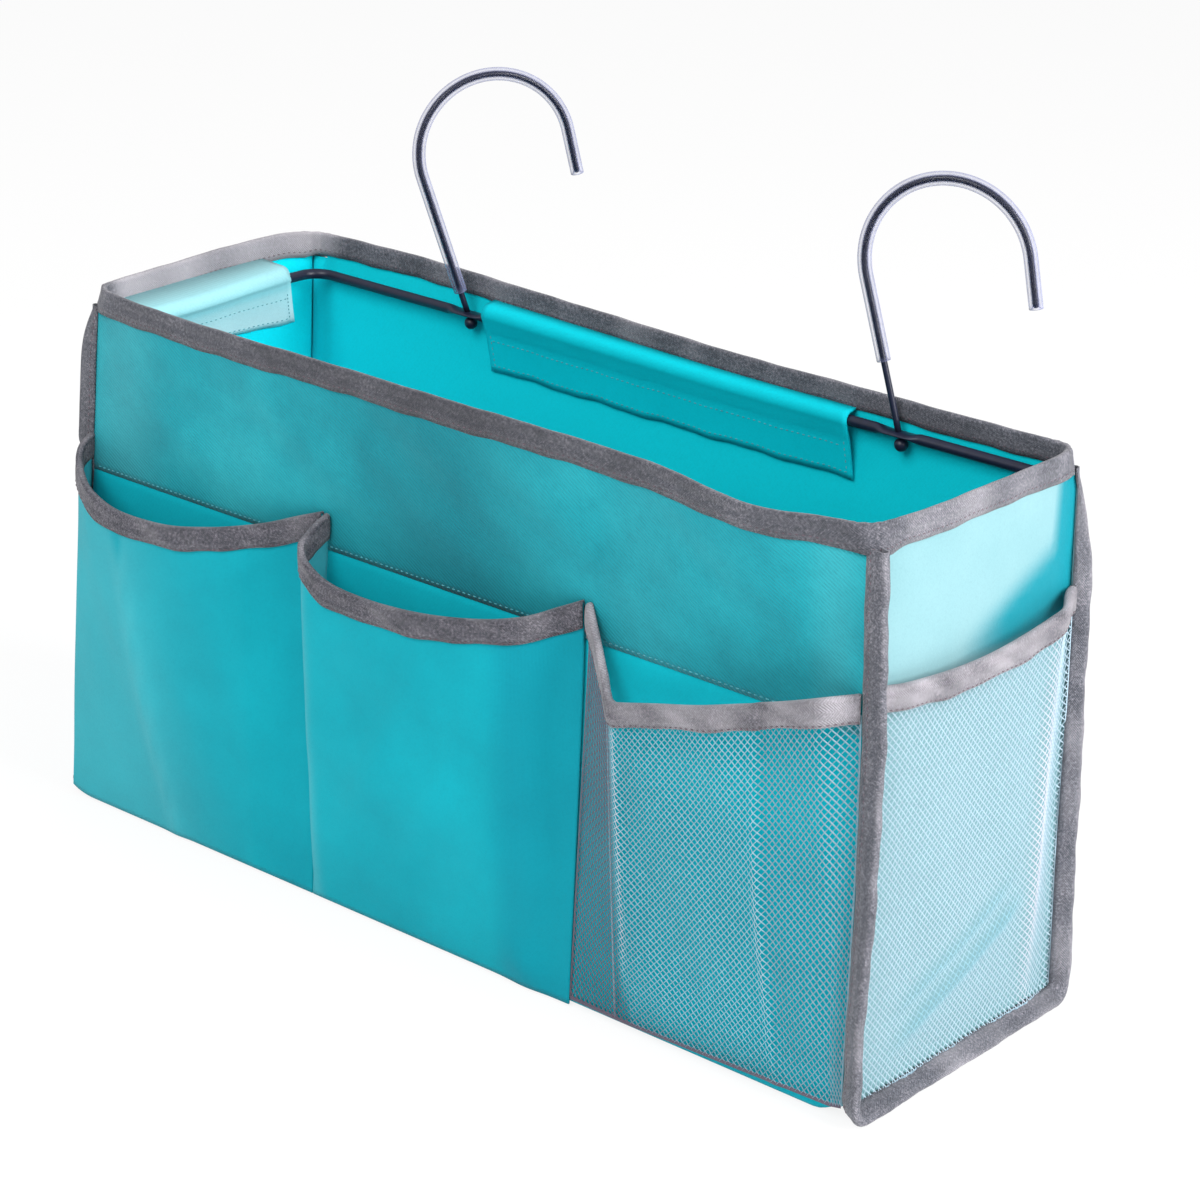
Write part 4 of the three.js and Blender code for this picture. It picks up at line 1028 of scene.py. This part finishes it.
def net_piece(name, nodes, lines, wall, shape, ridges=()):
    """Open netting: two sets of slanting strands that cross over and under each other, the
    thicker one leading, inside a plain knitted edge."""
    height = np.mean(lines[:, 2] - lines[:, 5]) - NET_TOP_LAP
    cells_across = int(round(lengths_along(lines[:, :3])[-1] / NET_PITCH)) * 2
    cells_up = int(round(height / NET_PITCH)) * 2
    edges = [(0, NET_EDGE, 0.0), (cells_across, NET_EDGE, 0.0)]
    # Each ridge is an extra strand with its tone; a positive tone is a painted highlight
    for place, girth, tone in ridges:
        share = np.argmin(np.abs(lines[:, 0] - place)) / len(lines)
        edges.append((int(round(share * cells_across)), girth, tone))
    lines = resample(lines, cells_across + 1)
    top = 1 - NET_TOP_LAP / np.mean(lines[:, 2] - lines[:, 5])
    sheet, painted_shading_and_tone = pocket_sheet(lines, np.linspace(0, top, cells_up + 1), wall, shape)
    normal = normals_of(sheet)
    points = []
    tones = []

    def add_strands(tails, tips, girth, tone=0.0, over=0.0):
        """Four-sided strands between pairs of places, each given as its row and its column."""
        starts, ends = (
            sheet[at] + normal[at] * over * np.where(at[0] % 2, 1, -1)[:, None] for at in (tails, tips)
        )
        run = unit(ends - starts)
        corners = []
        for place, up in ((starts, normal[tails]), (ends, normal[tips])):
            side = np.cross(up, run) * girth / 2
            lift = up * NET_THICKNESS / 2
            corners += [place + side, place + lift, place - side, place - lift]
        points.append(np.stack(corners, 1))
        tones.append(np.repeat(stack(painted_shading_and_tone[tails], painted_shading_and_tone[tips]) + tone, 4, 1))

    up, along = np.arange(cells_up), np.arange(cells_across)
    for direction, girth in NET_WIDTHS.items():
        row, column = np.nonzero((up[:, None] + along) % 2 == (direction < 0))
        tips = row + 1, column + (direction > 0)
        add_strands((row, column + (direction < 0)), tips, girth, over=NET_THICKNESS * 0.35 * direction)
    for column, girth, tone in edges:
        add_strands((up, 0 * up + column), (up + 1, 0 * up + column), girth, tone)
    add_strands((0 * along, along), (0 * along, along + 1), NET_HEM, -0.8)
    points = np.concatenate(points).reshape(-1, 3)
    faces = repeated(grid_faces(2, 4, around=True), 8, len(points))
    make_piece(name, points, netting, "netting", nodes, faces, smooth=False, painted_shading_and_tone=np.concatenate(tones))


def net_pocket(name, parts, folds, dip, wall, facing, shape, hem_shape=None, ridges=()):
    lines = folded_lines(np.array(folds), dip)
    net_piece(f"{name}_net", [f"{name}_{part}" for part in parts], lines, wall, shape, ridges)
    # Netting hems get painted light all along
    hem_strip(f"{name}_hem_tape", f"{name}_hem", lines, wall, facing, hem_shape, painted_shading_and_tone=0.2)


def left_shape(across, share, fullness):
    """The left pocket hangs round the folded fin and is creased from its corner to its foot."""
    past = across - LEFT_CREASE_FOOT - (LEFT_CREASE_TOP - LEFT_CREASE_FOOT) * share
    crease = hump(past, 5) * np.sin(np.clip(0.08 + share, 0, 1) * math.pi) ** 0.7
    bound = hump(fullness, 0.06) * (across < -150) * ease(share / 0.15)
    closing = hump(fullness, 0.08) * (across > -100) * (1 - share**6)
    edge = 6.0 * hump(across + HALF_LENGTH, 13) * (1 - share) ** 1.5
    slack = wave(across + 0.4 * share * HEM_HEIGHT, (58, 0.7, 1.0), (26, 0.25, 0.2)) * np.sin(share * math.pi)
    forward = 1.7 * crease + slack * fullness - (1.3 + 1.3 * share) * bound
    # Painted light on the facet left of the crease, a painted highlight along the crease, and painted shade
    # over the right part of the pocket
    painted_shading_and_tone = 0.2 * ease(-past / 6) + 0.22 * ease(past / 3) * np.exp(-np.maximum(past, 0) / 16)
    painted_shading_and_tone = painted_shading_and_tone + 0.25 * hump(past + 1, 3) * ease((0.95 - share) / 0.15) - 0.2 * ease((across + 100) / 30)
    return POCKET_CLOSE * closing - edge - 2.6 * bound, forward, painted_shading_and_tone


def middle_shape(across, share, fullness):
    """The middle pocket hangs in shallow wrinkles, with a painted highlight near its left end and painted
    shade where it turns to the right.
    """
    slack = np.sin(share * math.pi) * fullness
    low = wave(across - 0.5 * share * HEM_HEIGHT, (74, 0.8, 0.5), (31, 0.35, 1.7), (17, 0.12, 0.4))
    sag = wave(share * HEM_HEIGHT + 0.3 * across, (63, 0.5, 0.9))
    bump = 2.5 * hump(across - 48, 9) * hump(share - 0.06, 0.06)
    # A painted highlight near the left end and painted shade over the right part
    painted_shading_and_tone = 0.25 * hump(across + 62, 4) - 0.55 * ease((across - 30) / 14)
    closing = hump(fullness, 0.08) * (1 - share**6)
    return np.sign(across) * POCKET_CLOSE * closing, (low + sag) * slack + bump, painted_shading_and_tone


def mesh_shape(across, share, fullness):
    """The pleat is doubled and has painted shade over it; the face is folded, with painted shade beside the
    pleat, beyond the fold and along the foot, and painted highlights on the fold's ridge and the pleat's
    edge.
    """
    from_pleat = across - MESH_START - MESH_PLEAT * (1.2 - 0.2 * share)
    pleat = 1 - ease(from_pleat / 3)
    edge = hump(from_pleat, 2.2) * ease(share * 4)
    from_fold = across - 157.0 - 9.0 * (1 - share) ** 2
    ridge = hump(from_fold, 2.6) * np.sin(np.clip(0.1 + share, 0, 1) * math.pi)
    beyond = ease(from_fold / 2) * ease(share * 8)
    sway = wave(across + 60 * share, (37, 0.5, 0.3), (90, 0.6, 1.0))
    forward = 1.6 * ridge - 1.4 * beyond * share + (1 - pleat) * sway * ease(share * 5)
    beside = np.exp(-np.maximum(from_pleat, 0) / 25) * (1 - pleat)
    # Painted shade, deepest over the doubled pleat, also beside it, beyond the fold and along the foot;
    # painted highlights on the ridge and the pleat's edge
    doubled_and_shaded = 0.95 * pleat + 0.35 * beyond + 0.25 * beside + 0.4 * hump(share, 0.06)
    return 0 * across, forward, (0.2 * ridge - doubled_and_shaded) * (1 - edge) + 0.45 * edge


def side_shape(across, share, fullness):
    """The side net is pushed into an upright fold near the rear and a slanting one at its foot."""
    upright = hump(across - 45, 4.5) * np.sin(np.clip(0.05 + 0.95 * share, 0, 1) * math.pi) ** 0.6
    rise = share * HEM_HEIGHT - 8 - 0.42 * (across + 55)
    second = 0.7 * hump(rise - 13, 4) * ease((38 - across) / 20)
    folds = ease((across + 50) / 30) * (hump(rise, 5) * ease((45 - across) / 20) + second)
    sway = wave(across + 50 * share, (48, 0.4, 0.2)) * np.sin(share * math.pi)
    # Painted light over the whole side net, which faces the right lamp, a painted highlight along the upright
    # fold and painted shade in the slanting folds
    return 0 * across, 1.8 * upright + 1.8 * folds + sway, 0.25 + 0.4 * upright - 0.3 * folds


def mesh_pocket():
    """The netting pocket at the front's right end, pleated beside the middle pocket."""
    fold = MESH_START + MESH_PLEAT
    inset = END_STITCH - MESH_CORNER_INSET
    inset_foot = END_STITCH - MESH_CORNER_INSET / 2
    folds = [
        (MESH_START, GUSSET_GAP, HEM_LINE, MESH_START - POCKET_CLOSE, FOOT_GAP, NET_FOOT),
        (fold, MESH_DEPTH, HEM_LINE - MESH_DROP, MESH_START + MESH_PLEAT * 1.2, FOOT_GAP + CLOTH, NET_FOOT),
        (inset, MESH_DEPTH, HEM_LINE, inset_foot, FOOT_GAP + 2 * CLOTH, NET_FOOT_RIGHT),
        (END_STITCH, GUSSET_GAP, HEM_LINE, END_STITCH, FOOT_GAP, NET_FOOT_RIGHT),
    ]
    # The strand along the pleat's fold carries a painted highlight
    net_pocket(
        "mesh_pocket", ("pleat", "face", "corner"), folds, MESH_DIP, front_wall, (0, -1, 0),
        mesh_shape, mesh_shape, [(fold, NET_RIDGE, 0.5)],
    )


def side_pocket():
    """The netting pocket on the right end."""
    reach = SIDE_EDGE + SIDE_NET_REACH
    fold = SIDE_EDGE - SIDE_FOLD_INSET
    front, front_fold, rear_fold, rear = (HEM_LINE + rise for rise in SIDE_HEM_RISES)
    folds = [
        (-reach, GUSSET_GAP, front, -reach, FOOT_GAP, SIDE_NET_FOOT),
        (-fold, 0.6 * SIDE_POCKET_DEPTH, front_fold, -fold, GUSSET_GAP, SIDE_NET_FOOT),
        (fold, SIDE_POCKET_DEPTH, rear_fold, fold, GUSSET_GAP, SIDE_NET_FOOT),
        (reach, GUSSET_GAP, rear, reach, FOOT_GAP, SIDE_NET_FOOT),
    ]
    parts = "front_end", "face", "rear_end"
    net_pocket("side_pocket", parts, folds, SIDE_POCKET_SAG, right_wall, (1, 0, 0), side_shape)


# Stitching


def stitch_line(name, line, normal, material, lift, slot):
    """A row of stitches lying on a surface along a line: slim, pointed, slightly raised."""
    at = lengths_along(line)
    count = max(int(at[-1] / (STITCH_PITCH / 4)) + 1, 8)
    both = resample(np.concatenate([line, np.broadcast_to(normal, line.shape)], 1), count, at)
    places = np.arange(2, count - 2, 4)
    start, end = both[places - 1, :3], both[places + 1, :3]
    run = unit(end - start)
    up = unit(both[places, 3:])
    middle = (start + end) / 2 + up * lift
    turn = np.arange(4)[:, None] * math.pi / 2 + math.pi / 4
    spokes = (np.cross(up, run)[:, None] * np.cos(turn) + up[:, None] * np.sin(turn)) * STITCH_WIDTH / 2
    rings = []
    for share, girth in STITCH_RINGS:
        centre = middle + run * share * STITCH_LENGTH - up * (abs(share) > 0.3) * STITCH_WIDTH * 0.4
        rings.append(centre[:, None] + spokes * girth)
    points = np.stack(rings, 1).reshape(-1, 3)
    make_piece(name, points, material, slot, faces=repeated(tube_faces(4, 4), 16, len(points)))


def lap_seam():
    """The stitched lap between the twill and the cloth below it."""
    x = np.linspace(-HALF_LENGTH + 2, HALF_LENGTH - 2, 200)
    line = draw_in(stack(x, -HALF_DEPTH, SEAM_HEIGHT - LAP_STITCH_DROP))
    stitch_line("lap_seam_stitches", line, (0, -1, 0), thread, LAP_STITCH_LIFT, "cloth")


def tape_stitches(rim, seams):
    """Stitches near the edges of the rim and seam tapes."""
    for name, column in (("outer", -2), ("inner", 1)):
        out = rim[:, column] - rim[:, rim.shape[1] // 2]
        out[:, 2] = 0
        stitch_line(f"rim_tape_{name}_stitches", rim[:, column], unit(out), tape_thread, TAPE / 2, "tape")
    for name, grid in seams.items():
        line = grid[:, 1] * 0.6 + grid[:, 2] * 0.4
        outward = normals_of(grid)[:, 1]
        away = line - (grid[:, 8] + grid[:, -1]) / 2
        outward = outward * np.sign(np.sum(outward * away, -1, keepdims=True))
        stitch_line(f"{name}_seam_tape_stitches", line, outward, tape_thread, TAPE / 2, "tape")


# Casings, rod, hooks


def casing_profile(stand_out, slack=0.0, start=CASING_RISE):
    """The casing's section: off-wall distance and height, over the rod and down the wall. Its
    last rows from CASING_SEAM_ROW on lie flat, or hang straight as far as there is slack."""
    radius = ROD_RADIUS + CASING_ROOM + CLOTH / 2
    centre = ROD_STANDOFF + stand_out
    seam = ROD_HEIGHT - CASING_STITCH_DROP
    angle = np.radians(np.linspace(90, -30, 13))
    over = stack(centre + radius * np.cos(angle), ROD_HEIGHT + radius * np.sin(angle))
    pull = np.array([FOOT_GAP + 0.55 * (centre + radius - FOOT_GAP), seam + 2.4])
    end = np.array([FOOT_GAP + 0.15, seam])
    share = np.linspace(0, 1, 7)[1:, None]
    bend = over[-1] * (1 - share) ** 2 + pull * 2 * share * (1 - share) + end * share**2
    below = stack(FOOT_GAP, ROD_HEIGHT - np.linspace(CASING_STITCH_DROP, CASING_DROP, 7)[1:])
    line = np.concatenate([[[FOOT_GAP, ROD_HEIGHT + start]], over, bend, below])
    off, height = line.T
    straight = (off.max() - FOOT_GAP) * np.clip((height - height[-1]) / (ROD_HEIGHT - height[-1]), 0, 1)
    off += (height < ROD_HEIGHT) * slack * np.maximum(FOOT_GAP + straight - off, 0)
    return line


def casing(
    name, node, ends, place, material, stand_out, slack=0.0, start=CASING_RISE, painted_shading_levels=(0, 0), skew=0.0,
):
    """A cloth tunnel for the rod: place turns along, off-wall and height into a box point."""
    along = np.linspace(*ends, int((ends[1] - ends[0]) / 2.5) + 1)
    columns = []
    for a in along:
        off, height = casing_profile(stand_out(a), slack, start).T
        below = np.clip((ROD_HEIGHT - height) / CASING_DROP, 0, 1)
        sway = wave(a, (38, 0.35, 0.4), (17, 0.15, 1.0)) * below
        moved = a + skew * below * ease((a - ends[0]) / (ends[1] - ends[0]))
        columns.append(place(moved, off, height + sway))
    grid = np.stack(columns, 1)
    # Painted shading by rows, from the top to the last: negative is painted shade, positive painted light
    painted_shading_and_tone = np.interp(np.arange(len(grid)), [0, 8, len(grid)], [painted_shading_levels[0], *painted_shading_levels])
    make_piece(
        name, grid, material, "cloth", [node], uv=stack(along, lengths_along(casing_profile(0.0))[:, None]),
        thick=CLOTH, painted_shading_and_tone=np.repeat(painted_shading_and_tone, len(along)),
    )
    normal = normals_of(grid)
    normal = normal * np.sign(np.median(normal @ (place(0, 1, 190) - place(0, 0, 190))))
    row = len(grid) - 2
    down = slice(CASING_SEAM_ROW, row)
    path, facing = (
        np.concatenate([part[down, 1], part[row, 1:-1], part[down, -2][::-1]]) for part in (grid, normal)
    )
    stitch_line(f"{name}_stitches", path, facing, thread, CLOTH / 2, "cloth")
    upper = CASING_SEAM_ROW + 1
    stitch_line(f"{name}_upper_stitches", grid[upper, 1:-1], normal[upper, 1:-1], thread, CLOTH / 2, "cloth")


def rear_casing():
    """The casing between the hooks."""
    share = 1 - LENGTH_TAPER * ROD_HEIGHT / BODY_HEIGHT
    first = (LEFT_HOOK_PLACE + LEFT_CASING_CLEARANCE) / share
    last = (RIGHT_HOOK_PLACE - RIGHT_CASING_CLEARANCE) / share

    def place(a, off, z):
        return draw_in(stack(a, HALF_DEPTH - CLOTH - off, z))

    def stand_out(a):
        return abs(bows(a, HALF_DEPTH, ROD_HEIGHT)[1])

    # Painted shade over the casing's hump and lighter painted shade on its panel
    casing(
        "rear_casing_cloth", "rear_rod_casing", (first, last), place, inner, stand_out,
        slack=0.85, start=LOOSE_CASING_RISE, painted_shading_levels=(-0.7, -0.2),
    )


def side_casing(side, name, material, shorter=0.0, slack=0.0, start=CASING_RISE):
    """The casing on an end wall; a slack one is also skewed, with painted shade on its roll over the rod and
    painted light on the panel below.
    """
    half = SIDE_CASING_LENGTH / 2 / (1 - DEPTH_TAPER * ROD_HEIGHT / BODY_HEIGHT)

    def place(a, off, z):
        return draw_in(stack(side * (HALF_LENGTH - CLOTH - off), a, z))

    def stand_out(a):
        return abs(bows(side * HALF_LENGTH, a, ROD_HEIGHT)[0])

    casing(
        f"{name}_casing_cloth", f"{name}_rod_casing", (-half, half - shorter), place, material, stand_out,
        slack, start, painted_shading_levels=(-0.7 * slack, slack), skew=LEFT_CASING_SKEW * slack,
    )


def frame_rod():
    """The rod: two side arms, two round bends and the rear run with its flattened pads, drilled
    for the hooks. Its rows are x, y and two radii."""
    share = ROD_HEIGHT / BODY_HEIGHT
    reach_x = (HALF_LENGTH - CLOTH) * (1 - LENGTH_TAPER * share) - ROD_STANDOFF
    reach_y = (HALF_DEPTH - CLOTH) * (1 - DEPTH_TAPER * share) - ROD_STANDOFF
    arm = np.array([(-0.9, 0.6), (-0.4, 1.6), (0.4, ROD_RADIUS), (20.0, ROD_RADIUS), (60.0, ROD_RADIUS)])
    turn = np.linspace(math.pi, math.pi / 2, 17)
    bend_x = ROD_CORNER_RADIUS * (1 + np.cos(turn)) - reach_x
    bend_y = ROD_CORNER_RADIUS * (np.sin(turn) - 1) + reach_y
    rows = [stack(-reach_x, arm[:, 0] - ROD_ARM_REACH, arm[:, 1], arm[:, 1])]
    rows.append(stack(bend_x, bend_y, ROD_RADIUS, ROD_RADIUS))
    mirrored = np.concatenate(rows)[::-1] * [-1, 1, 1, 1]
    outer = PAD_LENGTH / 2 + PAD_TAPER
    offsets = np.array([outer, outer - 1.6, outer - 3.2, PAD_LENGTH / 2, 2.5, 0])
    offsets = np.concatenate([-offsets, offsets[-2::-1]])
    flat = ease((outer - np.abs(offsets)) / PAD_TAPER)
    width, height = (ROD_RADIUS + (size / 2 - ROD_RADIUS) * flat for size in (PAD_WIDTH, PAD_THICKNESS))
    pins = []
    for place in (LEFT_HOOK_PLACE, RIGHT_HOOK_PLACE):
        rows.append(stack(place + offsets, reach_y, width, height))
        pin = [[place, reach_y, ROD_HEIGHT - 4], [place, reach_y, ROD_HEIGHT + 4]]
        pins.append(tube_rings(pin, HOOK_HOLE_RADIUS, sides=32, up=(0, 1, 0)))
    rows = np.concatenate([*rows, mirrored])
    rings = tube_rings(stack(rows[:, 0], rows[:, 1], ROD_HEIGHT), rows[:, 2:], sides=24)
    rod = make_piece("wire_frame", rings, wire, "wire", ["frame_rod"], tube_faces(len(rows), 24))
    pin_mesh = bpy.data.meshes.new("pins")
    points = np.concatenate(pins).reshape(-1, 3)
    pin_mesh.from_pydata((points * MM).tolist(), [], repeated(tube_faces(2, 32), 64, len(points)))
    cutter = bpy.data.objects.new("pins", pin_mesh)
    bpy.context.collection.objects.link(cutter)
    drill = rod.modifiers.new("holes", "BOOLEAN")
    drill.operation = "DIFFERENCE"
    drill.solver = "EXACT"
    drill.object = cutter
    graph = bpy.context.evaluated_depsgraph_get()
    drilled = bpy.data.meshes.new_from_object(rod.evaluated_get(graph))
    rod.modifiers.clear()
    rod.data = drilled
    bpy.data.objects.remove(cutter)
    return reach_y


def hook_line(start, overhang):
    """A hook's centre line in its own frame, from its start on the shank to past its tip."""
    turn = np.linspace(0, HOOK_BEND, 80)
    bend = stack(HOOK_RADIUS - HOOK_RADIUS * np.cos(turn), 0, HOOK_SHANK + HOOK_RADIUS * np.sin(turn))
    run = np.array([math.sin(HOOK_BEND), 0, math.cos(HOOK_BEND)])
    tip = bend[-1] + run * np.linspace(0, HOOK_TIP + overhang, 8)[1:, None]
    return np.concatenate([stack(0, 0, np.linspace(start, HOOK_SHANK, 14)[:-1]), bend, tip])


def hook(side, place, reach_y, yaw, lean, sleeve_start):
    """A black wire hook with a ball under the pad, sheathed in a clear tube."""
    lean = math.radians(lean)
    turn = np.array(Matrix.Rotation(math.radians(yaw), 3, "Z") @ Matrix.Rotation(-lean, 3, "Y"))
    origin = np.array([place, reach_y, ROD_HEIGHT])
    body = f"{side}_hanger"
    drop = (PAD_THICKNESS / 2 + LAYER_GAP + BALL_RADIUS) / math.cos(lean)
    line = hook_line(-drop, 0.0)[1:]
    rings = tube_rings(line, WIRE_RADIUS, up=(0, 1, 0))
    end = rings[-1].mean(0)
    run = unit(line[-1] - line[-2]) * WIRE_RADIUS
    caps = [end + (rings[-1] - end) * math.cos(a) + run * math.sin(a) for a in (0.5, 1.0, 1.45)]
    angle = np.linspace(-math.pi / 2, math.pi / 2 - 0.5, 14)[:, None]
    spin = np.linspace(0, 2 * math.pi, 20, endpoint=False)
    girth = np.maximum(BALL_RADIUS * np.cos(angle), 0.02)
    ball = stack(girth * np.cos(spin), girth * np.sin(spin), BALL_RADIUS * np.sin(angle) - drop)
    length = len(rings) + len(caps)
    points = np.concatenate([rings, caps, ball]) @ turn.T + origin
    faces = tube_faces(length, 20) + shifted(tube_faces(14, 20), length * 20)
    make_piece(f"{side}_hook_wire", points, wire, "wire", [f"{side}_hook"], faces, body=body)
    line = hook_line(sleeve_start, SLEEVE_OVERHANG)
    skins = [tube_rings(line, radius, SLEEVE_SIDES, up=(0, 1, 0)) for radius in (SLEEVE_RADIUS, SLEEVE_BORE)]
    size = len(line) * SLEEVE_SIDES
    faces = grid_faces(len(line), SLEEVE_SIDES, around=True)
    faces += [face[::-1] for face in shifted(faces, size)]
    for first in (0, size - SLEEVE_SIDES):
        for k in range(SLEEVE_SIDES):
            n = (k + 1) % SLEEVE_SIDES
            face = first + k, first + n, size + first + n, size + first + k
            faces.append(face if first else face[::-1])
    points = np.concatenate(skins) @ turn.T + origin
    make_piece(f"{side}_hook_tube", points, vinyl, "sleeve", [f"{side}_hook_sleeve"], faces, body=body)


front_upper_cloth()
body_strip()
side_cloth(1, pale, "right_side_cloth", "right_side_panel")
side_cloth(-1, inner, "left_side_cloth", "left_side_panel")
seams = {
    "right": seam_tape(1, "right_seam_tape", "right_seam_binding"),
    "left": seam_tape(-1, "left_seam_tape", "left_seam_binding"),
}
rim = rim_tape()
cloth_pocket("left_pocket", -END_STITCH, LEFT_STITCH - HEM_EDGE, LEFT_HEM_SHARES, left_shape, POCKET_CORNER)
middle_left = LEFT_STITCH + LAYER_GAP + HEM_EDGE
cloth_pocket("middle_pocket", middle_left, RIGHT_STITCH - HEM_EDGE, MIDDLE_HEM_SHARES, middle_shape)
mesh_pocket()
side_pocket()
rear_casing()
side_casing(-1, "left", flap, LEFT_CASING_SHORTER, 1.0, LOOSE_CASING_RISE)
side_casing(1, "right", inner)
reach_y = frame_rod()
hook("left", LEFT_HOOK_PLACE, reach_y, **LEFT_HOOK)
hook("right", RIGHT_HOOK_PLACE, reach_y, **RIGHT_HOOK)
lap_seam()
tape_stitches(rim, seams)
packed_board = bpy.data.objects["base_board"]
packed_board.data.materials.clear()
packed_board.data.materials.append(board)


# Camera, lights and floor


def add_camera():
    """Stands where the photograph was taken from, with its lens and its slight roll."""
    data = bpy.data.cameras.new("camera")
    data.sensor_width = CAMERA_SENSOR
    data.lens = CAMERA_LENS
    data.clip_end = 20
    camera = bpy.data.objects.new("camera", data)
    axes = zip(CAMERA_RIGHT, CAMERA_UP, CAMERA_FORWARD, CAMERA_PLACE)
    rows = [(right, up, -forward, place * MM) for right, up, forward, place in axes]
    camera.matrix_world = Matrix([*rows, (0, 0, 0, 1)])
    bpy.context.collection.objects.link(camera)
    bpy.context.scene.camera = camera


def add_softbox(name, place, target, size, power, colour=(1, 1, 1)):
    data = bpy.data.lights.new(name, "AREA")
    data.shape = "RECTANGLE"
    data.size, data.size_y = size
    data.energy = power
    data.color = colour
    lamp = bpy.data.objects.new(name, data)
    lamp.location = place
    lamp.rotation_euler = (Vector(target) - Vector(place)).to_track_quat("-Z", "Y").to_euler()
    bpy.context.collection.objects.link(lamp)


def add_floor():
    """A pale floor that keeps a faint shadow and reads white from the camera."""
    shader = Shader(bpy.data.materials.new("floor_white"))
    shader.nodes.clear()
    diffuse = shader.add("BsdfDiffuse")
    diffuse.inputs["Color"].default_value = (FLOOR_PALE, FLOOR_PALE, FLOOR_PALE, 1)
    seen = shader.math("MULTIPLY", shader.add("LightPath").outputs["Is Camera Ray"], FLOOR_GLOW)
    mix = shader.add("MixShader")
    shader.link(seen, mix.inputs[0])
    shader.link(diffuse.outputs[0], mix.inputs[1])
    shader.link(shader.add("Emission").outputs[0], mix.inputs[2])
    shader.link(mix.outputs[0], shader.add("OutputMaterial").inputs["Surface"])
    mesh = bpy.data.meshes.new("floor")
    corners = [(x * FLOOR_HALF, y * FLOOR_HALF, 0) for x, y in ((-1, -1), (1, -1), (1, 1), (-1, 1))]
    mesh.from_pydata(corners, [], [(0, 1, 2, 3)])
    mesh.materials.append(shader.owner)
    floor = bpy.data.objects.new("floor", mesh)
    floor.location.z = -FLOOR_DROP
    bpy.context.collection.objects.link(floor)


def add_world():
    """Even white surroundings: bright where the camera, gloss and glass see them."""
    world = bpy.data.worlds.new("studio")
    bpy.context.scene.world = world
    shader = Shader(world)
    path = shader.add("LightPath").outputs
    seen = shader.math("MAXIMUM", path["Is Camera Ray"], path["Is Transmission Ray"])
    seen = shader.math("MAXIMUM", seen, path["Is Glossy Ray"])
    background = shader.nodes["Background"]
    background.inputs["Color"].default_value = (1, 1, 1, 1)
    shader.link(shader.span(seen, *WORLD_LEVELS), background.inputs["Strength"])


add_camera()
add_floor()
add_world()
add_softbox("key", **KEY_LIGHT)
add_softbox("right", **RIGHT_LIGHT)
bpy.context.scene.view_settings.view_transform = "Standard"
